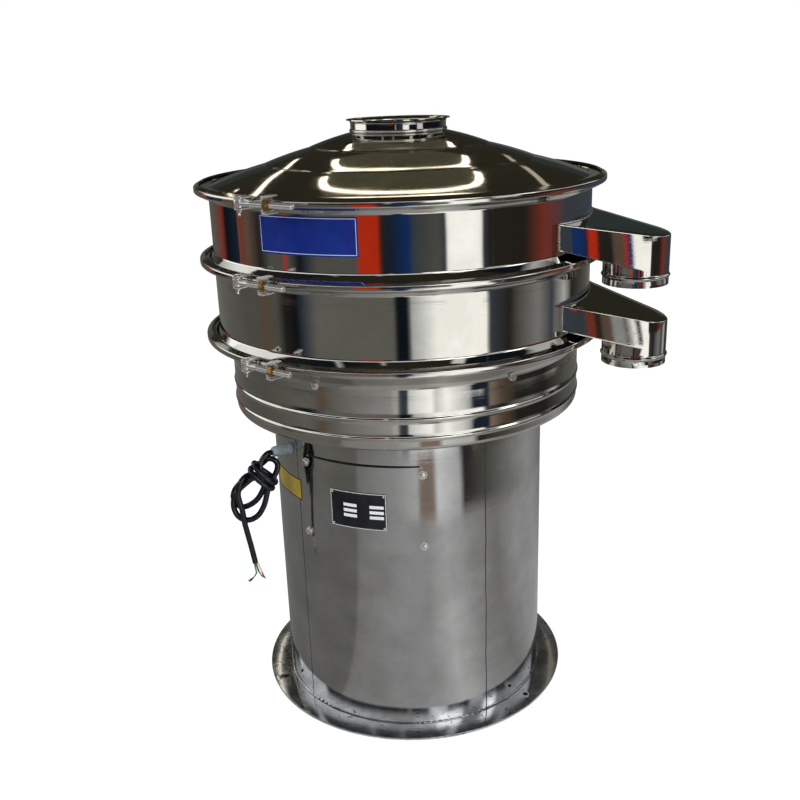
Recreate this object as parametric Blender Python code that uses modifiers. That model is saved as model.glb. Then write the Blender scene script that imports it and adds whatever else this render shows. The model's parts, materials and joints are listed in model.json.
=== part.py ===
"""Rotary vibrating sieve, single deck, modelled at real size in metres, +Z up.

The machine stands on a flanged cylinder. Six coil springs on the cylinder's top ring carry a
round motor plate, and with it the bottom frame, two screen frames, the cover and a vertical
vibration motor whose eccentric weights shake them. Three split rings with swing bolts hold the
frames together, and each frame has a discharge spout. Angles round the machine are counted
from the front (-Y) towards +X.
"""

import math
from math import acos, atan2, cos, pi, radians, sin, sqrt, tau

import bmesh
import bpy
from mathutils import Matrix, Vector

# Facets of the large round shells, which share one division so that their gaps stay even
STEPS = 32
SMALL_STEPS = 12
SHAFT_STEPS = 16
MOTOR_STEPS = 24
BOLT_STEPS = 6
PIN_STEPS = 8

# Clearances and cutter overrun
GAP = 0.0003
RUNNING_CLEAR = 0.0006
HOLE_CLEAR = 0.0005
OVERRUN = 0.030

# Base cylinder, its floor flange and the spring ring on top
BASE_STEP = 0.077
BASE_T = 0.003
BASE_TOP_Z = 0.695
FLANGE_W = 0.052
FLANGE_T = 0.006
FLANGE_INSET = 0.048
ANCHOR_INSET = 0.0275
ANCHOR_HOLE_R = 0.006
ANCHOR_ANGLES = (-70, 50, 170)
SPRING_RING_T = 0.008
SPRING_RING_W = 0.078

# Access door in the base, with four bolts, and the rating plate on it
DOOR_MID_ANGLE = -20.1
DOOR_W = 0.273
DOOR_H = 0.193
DOOR_Z = 0.5185
DOOR_T = 0.002
DOOR_CORNER_R = 0.008
DOOR_LAP = 0.020
DOOR_BOLT_INSET_X = 0.0075
DOOR_BOLT_INSET_Z = 0.017
DOOR_BOLT_HEAD_R = 0.0073
DOOR_BOLT_HEAD_H = 0.005
DOOR_BOLT_R = 0.003
DOOR_NUT_R = 0.006
PLATE_MID_ANGLE = -20.7
PLATE_W = 0.125
PLATE_H = 0.082
PLATE_Z = 0.516
PLATE_T = 0.001
PLATE_CORNER_R = 0.002

# Cable gland through the base wall
GLAND_ANGLE = -55.6
GLAND_Z = 0.6155
GLAND_LENGTH = 0.046
GLAND_HEX_R = 0.0125
GLAND_BARREL_R = 0.0112
GLAND_MOUTH_R = 0.0085
GLAND_THREAD_R = 0.010
LOCKNUT_R = 0.014
LOCKNUT_T = 0.005

# Springs between the spring ring and the motor plate
SPRING_COUNT = 6
SPRING_INSET = 0.038
SPRING_H = 0.0771
SPRING_COIL_R = 0.023
SPRING_WIRE_R = 0.0042
SPRING_TURNS = 3.25
SPRING_POINTS_PER_TURN = 8

# Motor plate with an upturned rim, and the bottom frame bolted round it
MOTOR_PLATE_T = 0.010
MOTOR_PLATE_RIM_T = 0.004
MOTOR_PLATE_RIM_H = 0.032
PLATE_TO_JOINT = 0.066
SKIRT_STEP = 0.022
SKIRT_T = 0.0025
SKIRT_DROP = 0.168
SKIRT_BEAD_H = 0.006
SKIRT_BEAD_OUT = 0.0025
SKIRT_BEAD_1 = 0.104
SKIRT_BEAD_2 = 0.142
SKIRT_CURL = 0.011
SKIRT_FLARE_H = 0.0305
SKIRT_BOLT_DROP = 0.0435
SKIRT_BOLT_ANGLE = -27.4
SKIRT_BOLT_R = 0.004
SKIRT_BOLT_HEAD_R = 0.0075
SKIRT_BOLT_HEAD_H = 0.0045
SKIRT_NUT_R = 0.0065
SKIRT_NUT_H = 0.006

# Vertical vibration motor: housing, shaft and three half-round weights
MOTOR_R = 0.100
MOTOR_UP = 0.045
MOTOR_DOWN = 0.262
MOTOR_FLANGE_R = 0.145
MOTOR_FLANGE_T = 0.012
MOTOR_CAP_R = 0.075
MOTOR_CAP_H = 0.024
SHAFT_R = 0.018
SHAFT_UP = 0.087
SHAFT_DOWN = 0.366
WEIGHT_R = 0.094
WEIGHT_HUB_R = 0.034
WEIGHT_T = 0.020
UPPER_WEIGHT_RISE = 0.060
LOWER_WEIGHT_SPACE = 0.006

# Screen frames, the lips where they meet, and the cover
FRAME_R = 0.402
SHEET = 0.002
LIP_W = 0.0205
LIP_FLAT = 0.012
FLARE_H = 0.014
JOINT_HALF = 0.0035
LOWER_FRAME_H = 0.160
UPPER_FRAME_H = 0.146
COVER_SLOPE_SHARE = 0.300
COVER_STEP_1_R = 0.186
COVER_STEP_2_R = 0.281
COVER_STEP_H = 0.002
COVER_STEP_W = 0.0025
COVER_FOOT_INSET = 0.004
COLLAR_R = 0.100
COLLAR_LIP_W = 0.0083
COLLAR_LIP_FLAT = 0.0043
COLLAR_FLARE_H = 0.0055
COLLAR_H = 0.0265
COLLAR_BEAD_OUT = 0.0025
COLLAR_BEAD_H = 0.0035
COLLAR_BEAD_RISE = 0.0035
COLLAR_TUCK = 0.010

# Gaskets, screen and collecting tray
GASKET_IN = 0.018
SCREEN_RIM_T = 0.002
SCREEN_RIM_W = 0.0445
SCREEN_LAP = 0.007
FINE_MESH_T = 0.0006
SUPPORT_MESH_T = 0.0015
TRAY_RISE = 0.052
TRAY_EDGE_H = 0.008
TRAY_EDGE_LIFT = 0.0265
TRAY_RADIUS_SHARES = (0.38, 0.74, 1.0)
TRAY_HEIGHT_SHARES = (0.82, 0.33, 0.0)

# Discharge spouts
SPOUT_HALF_ANGLE = 18.8
SPOUT_STANDOFF = 0.1005
SPOUT_PIPE_R = 0.0645
SPOUT_SHEET = 0.002
SPOUT_H = 0.050
SPOUT_FLOOR_LIFT = 0.0285
SPOUT_FLOOR_SLOPE_SHARE = 0.31
SPOUT_BEAD_OUT = 0.003
SPOUT_BEAD_H = 0.010
SPOUT_BEAD_RISE = 0.018
UPPER_SPOUT_ANGLE = 66.4
UPPER_SPOUT_DROP = 0.0508
UPPER_SPOUT_SLOPE_SHARE = 0.174
LOWER_SPOUT_ANGLE = 68.7
LOWER_SPOUT_DROP = 0.0571
LOWER_SPOUT_SLOPE_SHARE = 0.25
PIPE_ARC_STEPS = 10

# Clamp rings with their swing-bolt closures
RING_OUT = 0.0085
RING_T = 0.0032
RING_HALF_H = 0.011
RING_BAND_HALF_H = 0.0055
RING_SHOULDER_W = 0.0107
RING_GAP_HALF = 0.019
BOLT_LINE_OUT = 0.016
BOLT_R = 0.006
PIN_X = -0.032
PIN_R = 0.004
PIN_HEAD_R = 0.0065
PIN_HEAD_H = 0.003
PIN_TAIL = 0.012
PIN_TAIL_R = 0.0055
EYE_R = 0.009
EYE_HALF_H = 0.008
LUG_T = 0.003
LUG_BACK = 0.010
LUG_FRONT = 0.011
LUG_OUT = 0.009
LUG_IN = 0.0265
SADDLE_X = 0.032
SADDLE_T = 0.003
SADDLE_HALF_H = 0.0165
SADDLE_OUT = 0.0085
SADDLE_IN = 0.0205
SADDLE_FLANGE_L = 0.012
SLOT_CLEAR = 0.0006
NUT_GAP = 0.0006
NUT_CORNER_R = 0.011
NUT_T = 0.010
NUT_COLLAR_R = 0.0082
NUT_COLLAR_T = 0.003
CLAMP_ANGLES = (-40.2, -43.2, -42.6)
TOP_BOLT_LENGTH = 0.130
MIDDLE_BOLT_LENGTH = 0.122
BOTTOM_BOLT_LENGTH = 0.118

# Free cable: its diameter, the hank's outer shape and the stripped end
CABLE_R = 0.00525
CABLE_STEP = 0.022
HANK_TOP = (-0.298, 0.575)
HANK_TOP_R = 0.026
HANK_FOOT = (-0.345, 0.500)
HANK_FOOT_R = 0.043
HANK_Y = -0.215
HANK_DEPTH = 0.034
LEAD_ROUTE = (
    (-0.2891, -0.1980, 0.6155),
    (-0.3060, -0.2096, 0.6155),
    (-0.3220, -0.2150, 0.6130),
    (-0.3345, -0.2150, 0.6035),
    (-0.3350, -0.2150, 0.5913),
    (-0.3269, -0.2150, 0.5831),
)
TAIL_ROUTE = (
    (-0.36095, -0.2150, 0.46046),
    (-0.3659, -0.2150, 0.4480),
    (-0.3672, -0.2150, 0.4250),
    (-0.3580, -0.2150, 0.3930),
    (-0.3438, -0.2150, 0.3572),
)
CORES_L = 0.040
CORES_TOP_R = 0.0045
CORES_FOOT_R = 0.018
CORES_FOOT_DEPTH_SHARE = 0.35

# Heights worked out from the stack of pieces
MOTOR_PLATE_Z = BASE_TOP_Z + SPRING_RING_T + SPRING_H + 3 * GAP
BOTTOM_JOINT_Z = MOTOR_PLATE_Z + PLATE_TO_JOINT
MIDDLE_JOINT_Z = BOTTOM_JOINT_Z + LOWER_FRAME_H
TOP_JOINT_Z = MIDDLE_JOINT_Z + UPPER_FRAME_H

# Radii worked out from the screen frames
LIP_R = FRAME_R + LIP_W
RING_R = LIP_R + RING_OUT
COVER_FOOT_R = FRAME_R - COVER_FOOT_INSET
SPOUT_REACH = FRAME_R + SPOUT_STANDOFF
SKIRT_R = FRAME_R - SKIRT_STEP
BASE_R = SKIRT_R - BASE_STEP
FLANGE_R = BASE_R + FLANGE_W
SPRING_PCD_R = BASE_R - SPRING_INSET
BOLT_LINE_R = RING_R + BOLT_LINE_OUT
LIP_BACK = JOINT_HALF + SHEET

# The row's origin is under the middle of the whole outline, so the machine's axis stands beside it
PIPE_FAR_X = max(SPOUT_REACH * sin(radians(angle)) for angle in (UPPER_SPOUT_ANGLE, LOWER_SPOUT_ANGLE))
AXIS_X = (RING_R - PIPE_FAR_X - SPOUT_PIPE_R - SPOUT_BEAD_OUT) / 2


def clear_scene():
    for item in list(bpy.data.objects):
        bpy.data.objects.remove(item, do_unlink=True)


def make_collection(name):
    collection = bpy.data.collections.new(name)
    bpy.context.scene.collection.children.link(collection)
    return collection


def make_material(name, colour, roughness, metallic):
    material = bpy.data.materials.new(name)
    material.use_nodes = True
    shader = material.node_tree.nodes["Principled BSDF"]
    shader.inputs["Base Color"].default_value = (*colour, 1.0)
    shader.inputs["Roughness"].default_value = roughness
    shader.inputs["Metallic"].default_value = metallic
    return material


def make_empty(name, parent, place=(0, 0, 0), turn=0.0):
    """Guide point; turn is an angle round the machine's upright axis."""
    empty = bpy.data.objects.new(name, None)
    SIEVE.objects.link(empty)
    empty.parent = parent
    empty.location = place
    empty.rotation_euler.z = turn
    return empty


def add_object(name, mesh, parent, material=None, place=(0, 0, 0), turn=(0, 0, 0)):
    """A piece when it has a material, otherwise a cutter."""
    item = bpy.data.objects.new(name, mesh)
    if material is None:
        CUTTERS.objects.link(item)
        item.hide_render = True
        item.display_type = "WIRE"
    else:
        SIEVE.objects.link(item)
        mesh.materials.append(material)
    item.parent = parent
    item.location = place
    item.rotation_euler = turn
    return item


def offset_line(points, thickness):
    """The line beside a profile, on its right-hand side, with mitred corners."""
    line = [Vector(point) for point in points]
    directions = [(b - a).normalized() for a, b in zip(line, line[1:])]
    result = []
    for index, point in enumerate(line):
        before = directions[max(index - 1, 0)]
        after = directions[min(index, len(directions) - 1)]
        side_before = Vector((before.y, -before.x))
        side_after = Vector((after.y, -after.x))
        mitre = (side_before + side_after) / (1 + side_before.dot(side_after))
        result.append(point + mitre * thickness)
    return result


def sheet_section(points, thickness):
    """Closed section of a pressed sheet whose outer side runs through points, top to bottom."""
    inner = offset_line(points, thickness)
    return [tuple(point) for point in points] + [tuple(point) for point in reversed(inner)]


def ring_section(outer, inner, top, bottom):
    return [(outer, top), (outer, bottom), (inner, bottom), (inner, top)]


def turned(name, section, parent, material=None, steps=STEPS, place=(0, 0, 0), turn=(0, 0, 0)):
    """Closed radius-height section turned round the local Z axis."""
    mesh = bpy.data.meshes.new(name)
    count = len(section)
    vertices = [(radius, 0, height) for radius, height in section]
    closed = min(radius for radius, height in section) > 0
    edges = [(i, (i + 1) % count) for i in range(count if closed else count - 1)]
    mesh.from_pydata(vertices, edges, [])
    item = add_object(name, mesh, parent, material, place, turn)
    screw = item.modifiers.new("Turn", "SCREW")
    screw.axis = "Z"
    screw.angle = tau
    screw.steps = steps
    screw.render_steps = steps
    screw.use_merge_vertices = True
    screw.merge_threshold = GAP / 10
    screw.use_smooth_shade = True
    return item


def axis_section(radius_heights):
    """Section that starts and ends on the axis, for a solid turned piece."""
    first = (0.0, radius_heights[0][1])
    last = (0.0, radius_heights[-1][1])
    return [first, *radius_heights, last]


def prism(name, outline, bottom, top, parent, material=None, place=(0, 0, 0), turn=(0, 0, 0)):
    """Flat outline carried upwards; bottom and top give a height for each point."""
    mesh = bpy.data.meshes.new(name)
    shape = bmesh.new()
    low = [shape.verts.new((x, y, bottom(x, y))) for x, y in outline]
    face = shape.faces.new(low)
    raised = bmesh.ops.extrude_face_region(shape, geom=[face])
    for vertex in raised["geom"]:
        if isinstance(vertex, bmesh.types.BMVert):
            vertex.co.z = top(vertex.co.x, vertex.co.y)
    bmesh.ops.recalc_face_normals(shape, faces=shape.faces)
    shape.to_mesh(mesh)
    shape.free()
    return add_object(name, mesh, parent, material, place, turn)


def level(height):
    return lambda x, y: height


def box(name, low, high, parent, material=None, place=(0, 0, 0), turn=(0, 0, 0)):
    """Upright box between two corners, from a unit cube."""
    shape = bmesh.new()
    bmesh.ops.create_cube(shape, size=1.0)
    size = [b - a for a, b in zip(low, high)]
    middle = [(a + b) / 2 for a, b in zip(low, high)]
    fit = Matrix.Translation(middle) @ Matrix.Diagonal((*size, 1.0))
    bmesh.ops.transform(shape, matrix=fit, verts=shape.verts)
    mesh = bpy.data.meshes.new(name)
    shape.to_mesh(mesh)
    shape.free()
    return add_object(name, mesh, parent, material, place, turn)


def rod(name, radius, start, end, parent, material=None, sides=SMALL_STEPS, place=(0, 0, 0), turn=(0, 0, 0)):
    """Solid round bar along the local Z axis."""
    shape = bmesh.new()
    bmesh.ops.create_cone(
        shape, cap_ends=True, segments=sides, radius1=radius, radius2=radius, depth=end - start,
        matrix=Matrix.Translation((0, 0, (start + end) / 2)),
    )
    mesh = bpy.data.meshes.new(name)
    shape.to_mesh(mesh)
    shape.free()
    mesh.shade_smooth()
    mesh.set_sharp_from_angle(angle=radians(40))
    return add_object(name, mesh, parent, material, place, turn)


def combine(item, other, operation):
    """Boolean of one piece with a cutter, kept as a modifier."""
    change = item.modifiers.new(other.name, "BOOLEAN")
    change.operation = operation
    change.object = other
    change.solver = "EXACT"
    return item


def facet_offset(angle):
    """Angle between a direction and the middle of the wall facet that it meets."""
    facet = tau / STEPS
    return (radians(angle) % facet) - facet / 2


def facet_distance(radius, angle):
    """Distance from the axis to the flat facet of a turned wall, along an angle in degrees."""
    return radius * cos(pi / STEPS) / cos(facet_offset(angle))


def seat_outside(radius, angle, half_width):
    """Where a flat head of this half width rests on the outside of a turned wall."""
    return facet_distance(radius, angle) + half_width * sin(abs(facet_offset(angle))) + GAP


def seat_inside(radius, angle, half_width):
    """Where a flat nut of this half width rests on the inside of a turned wall."""
    return facet_distance(radius, angle) - half_width * sin(abs(facet_offset(angle))) - GAP


def outward(angle):
    """Rotation that carries a local +Z axis to the outward direction at an angle in degrees."""
    return (pi / 2, 0, radians(angle))


def around(radius, angle):
    turn = radians(angle)
    return (radius * sin(turn), -radius * cos(turn))


def smooth_route(points, spacing):
    """Points a spacing apart on a Catmull-Rom curve through the route's own points."""
    route = [Vector(point) for point in points]
    route = [2 * route[0] - route[1], *route, 2 * route[-1] - route[-2]]
    result = [route[1]]
    for a, b, c, d in zip(route, route[1:], route[2:], route[3:]):
        pieces = max(1, round((c - b).length / spacing))
        for step in range(1, pieces + 1):
            t = step / pieces
            result.append(0.5 * (2 * b + (c - a) * t + (2 * a - 5 * b + 4 * c - d) * t ** 2
                                 + (3 * b - a - 3 * c + d) * t ** 3))
    return result


def tube(name, points, radius, sides_level, parent, material):
    """Round wire along points, as a curve with filled caps."""
    curve = bpy.data.curves.new(name, "CURVE")
    curve.dimensions = "3D"
    curve.bevel_depth = radius
    curve.bevel_resolution = sides_level
    curve.use_fill_caps = True
    curve.render_resolution_u = 0
    spline = curve.splines.new("POLY")
    spline.points.add(len(points) - 1)
    for spot, point in zip(spline.points, points):
        spot.co = (*point, 1.0)
    spline.use_smooth = True
    curve.materials.append(material)
    item = bpy.data.objects.new(name, curve)
    SIEVE.objects.link(item)
    item.parent = parent
    return item


def fastener(name, head, shank, nut, parent, material, place, turn):
    """Bolt with its nut as one turned piece; each of the three is a radius, a low and a high end."""
    section = axis_section([
        (head[0], head[2]), (head[0], head[1]), (shank[0], head[1]),
        (shank[0], nut[2]), (nut[0], nut[2]), (nut[0], nut[1]),
    ])
    return turned(name, section, parent, material, steps=BOLT_STEPS, place=place, turn=turn)


def base():
    """Floor flange, rolled cylinder with its door opening, and the ring that seats the springs."""
    flange = turned(
        "base_flange", ring_section(FLANGE_R, BASE_R - FLANGE_INSET, FLANGE_T, 0.0), AXIS, STEEL_WORN)
    for number, angle in enumerate(ANCHOR_ANGLES, 1):
        x, y = around(FLANGE_R - ANCHOR_INSET, angle)
        hole = rod(f"anchor_hole_{number}", ANCHOR_HOLE_R, -OVERRUN, OVERRUN, AXIS, place=(x, y, 0))
        combine(flange, hole, "DIFFERENCE")
    cylinder = turned(
        "base_cylinder", ring_section(BASE_R, BASE_R - BASE_T, BASE_TOP_Z, FLANGE_T + GAP), AXIS, STEEL_DULL)
    opening_w = DOOR_W - 2 * DOOR_LAP
    opening_h = DOOR_H - 2 * DOOR_LAP
    opening = facing_plate("door_opening", DOOR_MID_ANGLE, opening_w, opening_h, DOOR_Z, DOOR_CORNER_R)
    combine(cylinder, opening, "DIFFERENCE")
    for number, (x, z) in enumerate(door_bolt_places(), 1):
        hole = rod(
            f"door_bolt_hole_{number}", DOOR_BOLT_R + HOLE_CLEAR, BASE_R - OVERRUN, BASE_R + OVERRUN, AXIS,
            sides=8, place=(0, 0, z), turn=outward(x))
        combine(cylinder, hole, "DIFFERENCE")
    gland_hole = rod(
        "gland_hole", GLAND_THREAD_R + HOLE_CLEAR, BASE_R - OVERRUN, BASE_R + OVERRUN, AXIS,
        sides=SMALL_STEPS, place=(0, 0, GLAND_Z), turn=outward(GLAND_ANGLE))
    combine(cylinder, gland_hole, "DIFFERENCE")
    ring_low = BASE_TOP_Z + GAP
    turned(
        "spring_ring",
        ring_section(BASE_R, BASE_R - SPRING_RING_W, ring_low + SPRING_RING_T, ring_low), AXIS, STEEL_DULL)


def facing_plate(name, angle, width, height, middle_z, corner):
    """Block with rounded corners that faces outwards at an angle, for cutting curved plates."""
    outline = []
    for side_x, side_z, start in ((1, 1, 0), (-1, 1, 1), (-1, -1, 2), (1, -1, 3)):
        for step in range(3):
            turn = (start + step / 2) * pi / 2
            outline.append((
                side_x * (width / 2 - corner) + corner * cos(turn),
                side_z * (height / 2 - corner) + corner * sin(turn),
            ))
    return prism(
        name, outline, level(BASE_R / 2), level(BASE_R + OVERRUN), AXIS,
        place=(0, 0, middle_z), turn=outward(angle))


def door_bolt_places():
    """Angle and height of the four door bolts."""
    reach = (DOOR_W / 2 - DOOR_BOLT_INSET_X) / BASE_R
    half = math.degrees(math.asin(reach))
    rise = DOOR_H / 2 - DOOR_BOLT_INSET_Z
    return [(DOOR_MID_ANGLE + side * half, DOOR_Z + up * rise) for side in (-1, 1) for up in (1, -1)]


def door():
    """Curved access door over its opening, its bolts, and the rating plate."""
    inner = BASE_R + GAP
    section = ring_section(inner + DOOR_T, inner, DOOR_Z + DOOR_H, DOOR_Z - DOOR_H)
    plate = turned("access_door", section, AXIS, STEEL_DULL)
    outline = facing_plate("door_outline", DOOR_MID_ANGLE, DOOR_W, DOOR_H, DOOR_Z, DOOR_CORNER_R)
    combine(plate, outline, "INTERSECT")
    for number, (angle, z) in enumerate(door_bolt_places(), 1):
        hole = rod(
            f"door_hole_{number}", DOOR_BOLT_R + HOLE_CLEAR, BASE_R - OVERRUN, BASE_R + OVERRUN, AXIS,
            sides=8, place=(0, 0, z), turn=outward(angle))
        combine(plate, hole, "DIFFERENCE")
        seat = seat_outside(inner + DOOR_T, angle, DOOR_BOLT_HEAD_R)
        back = seat_inside(BASE_R - BASE_T, angle, DOOR_NUT_R)
        fastener(
            f"door_bolt_{number}", (DOOR_BOLT_HEAD_R, seat, seat + DOOR_BOLT_HEAD_H), (DOOR_BOLT_R,),
            (DOOR_NUT_R, back - DOOR_BOLT_HEAD_H, back), AXIS, STEEL_BRIGHT, (0, 0, z), outward(angle))
    low = inner + DOOR_T + GAP
    section = ring_section(low + PLATE_T, low, PLATE_Z + PLATE_H, PLATE_Z - PLATE_H)
    name_plate = turned("rating_plate", section, AXIS, PLATE_BLACK)
    plate_outline = facing_plate(
        "plate_outline", PLATE_MID_ANGLE, PLATE_W, PLATE_H, PLATE_Z, PLATE_CORNER_R)
    combine(name_plate, plate_outline, "INTERSECT")


def gland():
    """Cable gland that points straight out of the base wall, and its locknut inside."""
    seat = seat_outside(BASE_R, GLAND_ANGLE, GLAND_HEX_R)
    end = seat + GLAND_LENGTH
    inside = seat_inside(BASE_R - BASE_T, GLAND_ANGLE, LOCKNUT_R) - LOCKNUT_T
    section = axis_section([
        (GLAND_MOUTH_R, end), (GLAND_BARREL_R, end - GLAND_LENGTH / 8),
        (GLAND_BARREL_R, end - GLAND_LENGTH / 2), (GLAND_THREAD_R, end - GLAND_LENGTH / 2),
        (GLAND_THREAD_R, seat + GLAND_LENGTH / 3), (GLAND_HEX_R, seat + GLAND_LENGTH / 3),
        (GLAND_HEX_R, seat), (GLAND_THREAD_R, seat), (GLAND_THREAD_R, inside - LOCKNUT_T / 2),
    ])
    turned(
        "cable_gland", section, AXIS, GLAND_GREY, steps=SMALL_STEPS,
        place=(0, 0, GLAND_Z), turn=outward(GLAND_ANGLE))
    nut_in = GLAND_THREAD_R + GAP
    turned(
        "gland_locknut", ring_section(LOCKNUT_R, nut_in, inside + LOCKNUT_T, inside), AXIS, GLAND_GREY,
        steps=SMALL_STEPS, place=(0, 0, GLAND_Z), turn=outward(GLAND_ANGLE))


def springs():
    """Coil springs in a circle, each standing on the spring ring under the motor plate."""
    low = BASE_TOP_Z + SPRING_RING_T + 2 * GAP + SPRING_WIRE_R
    high = MOTOR_PLATE_Z - GAP - SPRING_WIRE_R
    count = round(SPRING_TURNS * SPRING_POINTS_PER_TURN)
    for number in range(SPRING_COUNT):
        x, y = around(SPRING_PCD_R, 360 * number / SPRING_COUNT)
        points = []
        for step in range(count + 1):
            turn = tau * SPRING_TURNS * step / count
            height = low + (high - low) * step / count
            points.append((x + SPRING_COIL_R * cos(turn), y + SPRING_COIL_R * sin(turn), height))
        tube(f"spring_{number + 1}", points, SPRING_WIRE_R, 1, AXIS, SPRING_STEEL)


def lip_points(joint_z, side):
    """Outer side of a frame's lip and flare; side is 1 for the frame above the joint, -1 below it."""
    back = joint_z + side * LIP_BACK
    return [
        (LIP_R, back),
        (LIP_R - LIP_FLAT, back),
        (FRAME_R, back + side * FLARE_H),
    ]


def skirt_bolt_holes(item, label, radius):
    for number in range(SPRING_COUNT):
        angle = SKIRT_BOLT_ANGLE + 360 * number / SPRING_COUNT
        hole = rod(
            f"{label}_{number + 1}", SKIRT_BOLT_R + HOLE_CLEAR, radius - OVERRUN, radius + OVERRUN, AXIS,
            sides=8, place=(0, 0, BOTTOM_JOINT_Z - SKIRT_BOLT_DROP), turn=outward(angle))
        combine(item, hole, "DIFFERENCE")


def bottom_frame():
    """Bottom frame with two rolled beads and an inward curl, its motor plate and their bolts."""
    top = BOTTOM_JOINT_Z - JOINT_HALF - SKIRT_T
    foot = BOTTOM_JOINT_Z - SKIRT_DROP
    outer = [(LIP_R, top), (LIP_R - LIP_FLAT, top), (SKIRT_R, top - SKIRT_FLARE_H)]
    for depth in (SKIRT_BEAD_1, SKIRT_BEAD_2):
        middle = BOTTOM_JOINT_Z - depth
        outer += [
            (SKIRT_R, middle + SKIRT_BEAD_H),
            (SKIRT_R + SKIRT_BEAD_OUT, middle),
            (SKIRT_R, middle - SKIRT_BEAD_H),
        ]
    outer += [
        (SKIRT_R, foot + SKIRT_CURL),
        (SKIRT_R - SKIRT_CURL * (1 - cos(pi / 4)), foot + SKIRT_CURL * (1 - sin(pi / 4))),
        (SKIRT_R - SKIRT_CURL, foot),
    ]
    skirt = turned("bottom_frame", sheet_section(outer, SKIRT_T), AXIS, STEEL_BRIGHT)
    skirt_bolt_holes(skirt, "skirt_hole", SKIRT_R)
    rim_r = SKIRT_R - SKIRT_T - GAP
    rim_in = rim_r - MOTOR_PLATE_RIM_T
    plate_top = MOTOR_PLATE_Z + MOTOR_PLATE_T
    bore = MOTOR_R + 2 * HOLE_CLEAR
    plate = turned("motor_plate", [
        (rim_r, MOTOR_PLATE_Z + MOTOR_PLATE_RIM_H), (rim_r, MOTOR_PLATE_Z), (bore, MOTOR_PLATE_Z),
        (bore, plate_top), (rim_in, plate_top), (rim_in, MOTOR_PLATE_Z + MOTOR_PLATE_RIM_H),
    ], AXIS, STEEL_DULL)
    skirt_bolt_holes(plate, "rim_hole", SKIRT_R)
    for number in range(SPRING_COUNT):
        angle = SKIRT_BOLT_ANGLE + 360 * number / SPRING_COUNT
        seat = seat_outside(SKIRT_R, angle, SKIRT_BOLT_HEAD_R)
        back = seat_inside(rim_in, angle, SKIRT_NUT_R)
        fastener(
            f"skirt_bolt_{number + 1}", (SKIRT_BOLT_HEAD_R, seat, seat + SKIRT_BOLT_HEAD_H), (SKIRT_BOLT_R,),
            (SKIRT_NUT_R, back - SKIRT_NUT_H, back), AXIS, STEEL_BRIGHT,
            (0, 0, BOTTOM_JOINT_Z - SKIRT_BOLT_DROP), outward(angle))


def half_weight(name, low, parent):
    """Half-round eccentric weight with a hub, bored for the shaft."""
    outline = [(WEIGHT_R * cos(pi * step / 12), WEIGHT_R * sin(pi * step / 12)) for step in range(13)]
    outline += [
        (WEIGHT_HUB_R * cos(pi + pi * step / 6), WEIGHT_HUB_R * sin(pi + pi * step / 6)) for step in range(7)]
    weight = prism(name, outline, level(low), level(low + WEIGHT_T), parent, CAST_GREY)
    bore = rod(
        f"{name}_bore", SHAFT_R + RUNNING_CLEAR, low - OVERRUN, low + WEIGHT_T + OVERRUN, parent,
        sides=SHAFT_STEPS)
    combine(weight, bore, "DIFFERENCE")
    return weight


def motor():
    """Vibration motor flanged to the underside of the motor plate, and its rotor."""
    flange_top = MOTOR_PLATE_Z - GAP
    top = MOTOR_PLATE_Z + MOTOR_UP
    foot = flange_top - MOTOR_DOWN
    bore = SHAFT_R + RUNNING_CLEAR
    turned("motor_housing", [
        (MOTOR_CAP_R, top), (MOTOR_R, top - MOTOR_CAP_H), (MOTOR_R, flange_top),
        (MOTOR_FLANGE_R, flange_top), (MOTOR_FLANGE_R, flange_top - MOTOR_FLANGE_T),
        (MOTOR_R, flange_top - MOTOR_FLANGE_T), (MOTOR_R, foot + MOTOR_CAP_H), (MOTOR_CAP_R, foot),
        (bore, foot), (bore, top),
    ], AXIS, CAST_GREY, steps=MOTOR_STEPS)
    rotor = make_empty("rotor_axis", AXIS)
    rod(
        "motor_shaft", SHAFT_R, MOTOR_PLATE_Z - SHAFT_DOWN, MOTOR_PLATE_Z + SHAFT_UP, rotor, STEEL_BRIGHT,
        sides=SHAFT_STEPS)
    half_weight("upper_weight", MOTOR_PLATE_Z + UPPER_WEIGHT_RISE, rotor)
    fixed_low = foot - LOWER_WEIGHT_SPACE - WEIGHT_T
    half_weight("lower_fixed_weight", fixed_low, rotor)
    swivel = make_empty("adjustable_weight_axis", rotor)
    half_weight("lower_adjustable_weight", fixed_low - GAP - WEIGHT_T, swivel)


def spout_outline(corner_x, half_width, pipe_r, start_x):
    """Teardrop plan: straight sides from the wall corners, tangent to the pipe's circle."""
    to_corner = (corner_x - SPOUT_REACH, half_width)
    distance = sqrt(to_corner[0] ** 2 + to_corner[1] ** 2)
    tangent = atan2(to_corner[1], to_corner[0]) - acos(pipe_r / distance)
    front = [-tangent + 2 * tangent * step / PIPE_ARC_STEPS for step in range(PIPE_ARC_STEPS + 1)]
    rest = tau - 2 * tangent
    back = [tangent + rest * step / PIPE_ARC_STEPS for step in range(1, PIPE_ARC_STEPS)]
    outline = [(start_x, -half_width), (corner_x, -half_width)]
    outline += [(SPOUT_REACH + pipe_r * cos(turn), pipe_r * sin(turn)) for turn in front]
    outline += [(corner_x, half_width), (start_x, half_width)]
    return outline, front + back


def pipe_stack(name, rings, angles, parent, material=None):
    """Upright round pipe lofted through rings of a radius and a height, lowest ring first."""
    shape = bmesh.new()
    layers = []
    for radius, height in rings:
        layers.append([
            shape.verts.new((SPOUT_REACH + radius * cos(turn), radius * sin(turn), height))
            for turn in angles])
    count = len(angles)
    for low, high in zip(layers, layers[1:]):
        for i in range(count):
            j = (i + 1) % count
            shape.faces.new((low[i], low[j], high[j], high[i]))
    shape.faces.new(list(reversed(layers[0])))
    shape.faces.new(layers[-1])
    mesh = bpy.data.meshes.new(name)
    shape.to_mesh(mesh)
    shape.free()
    return add_object(name, mesh, parent, material)


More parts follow.
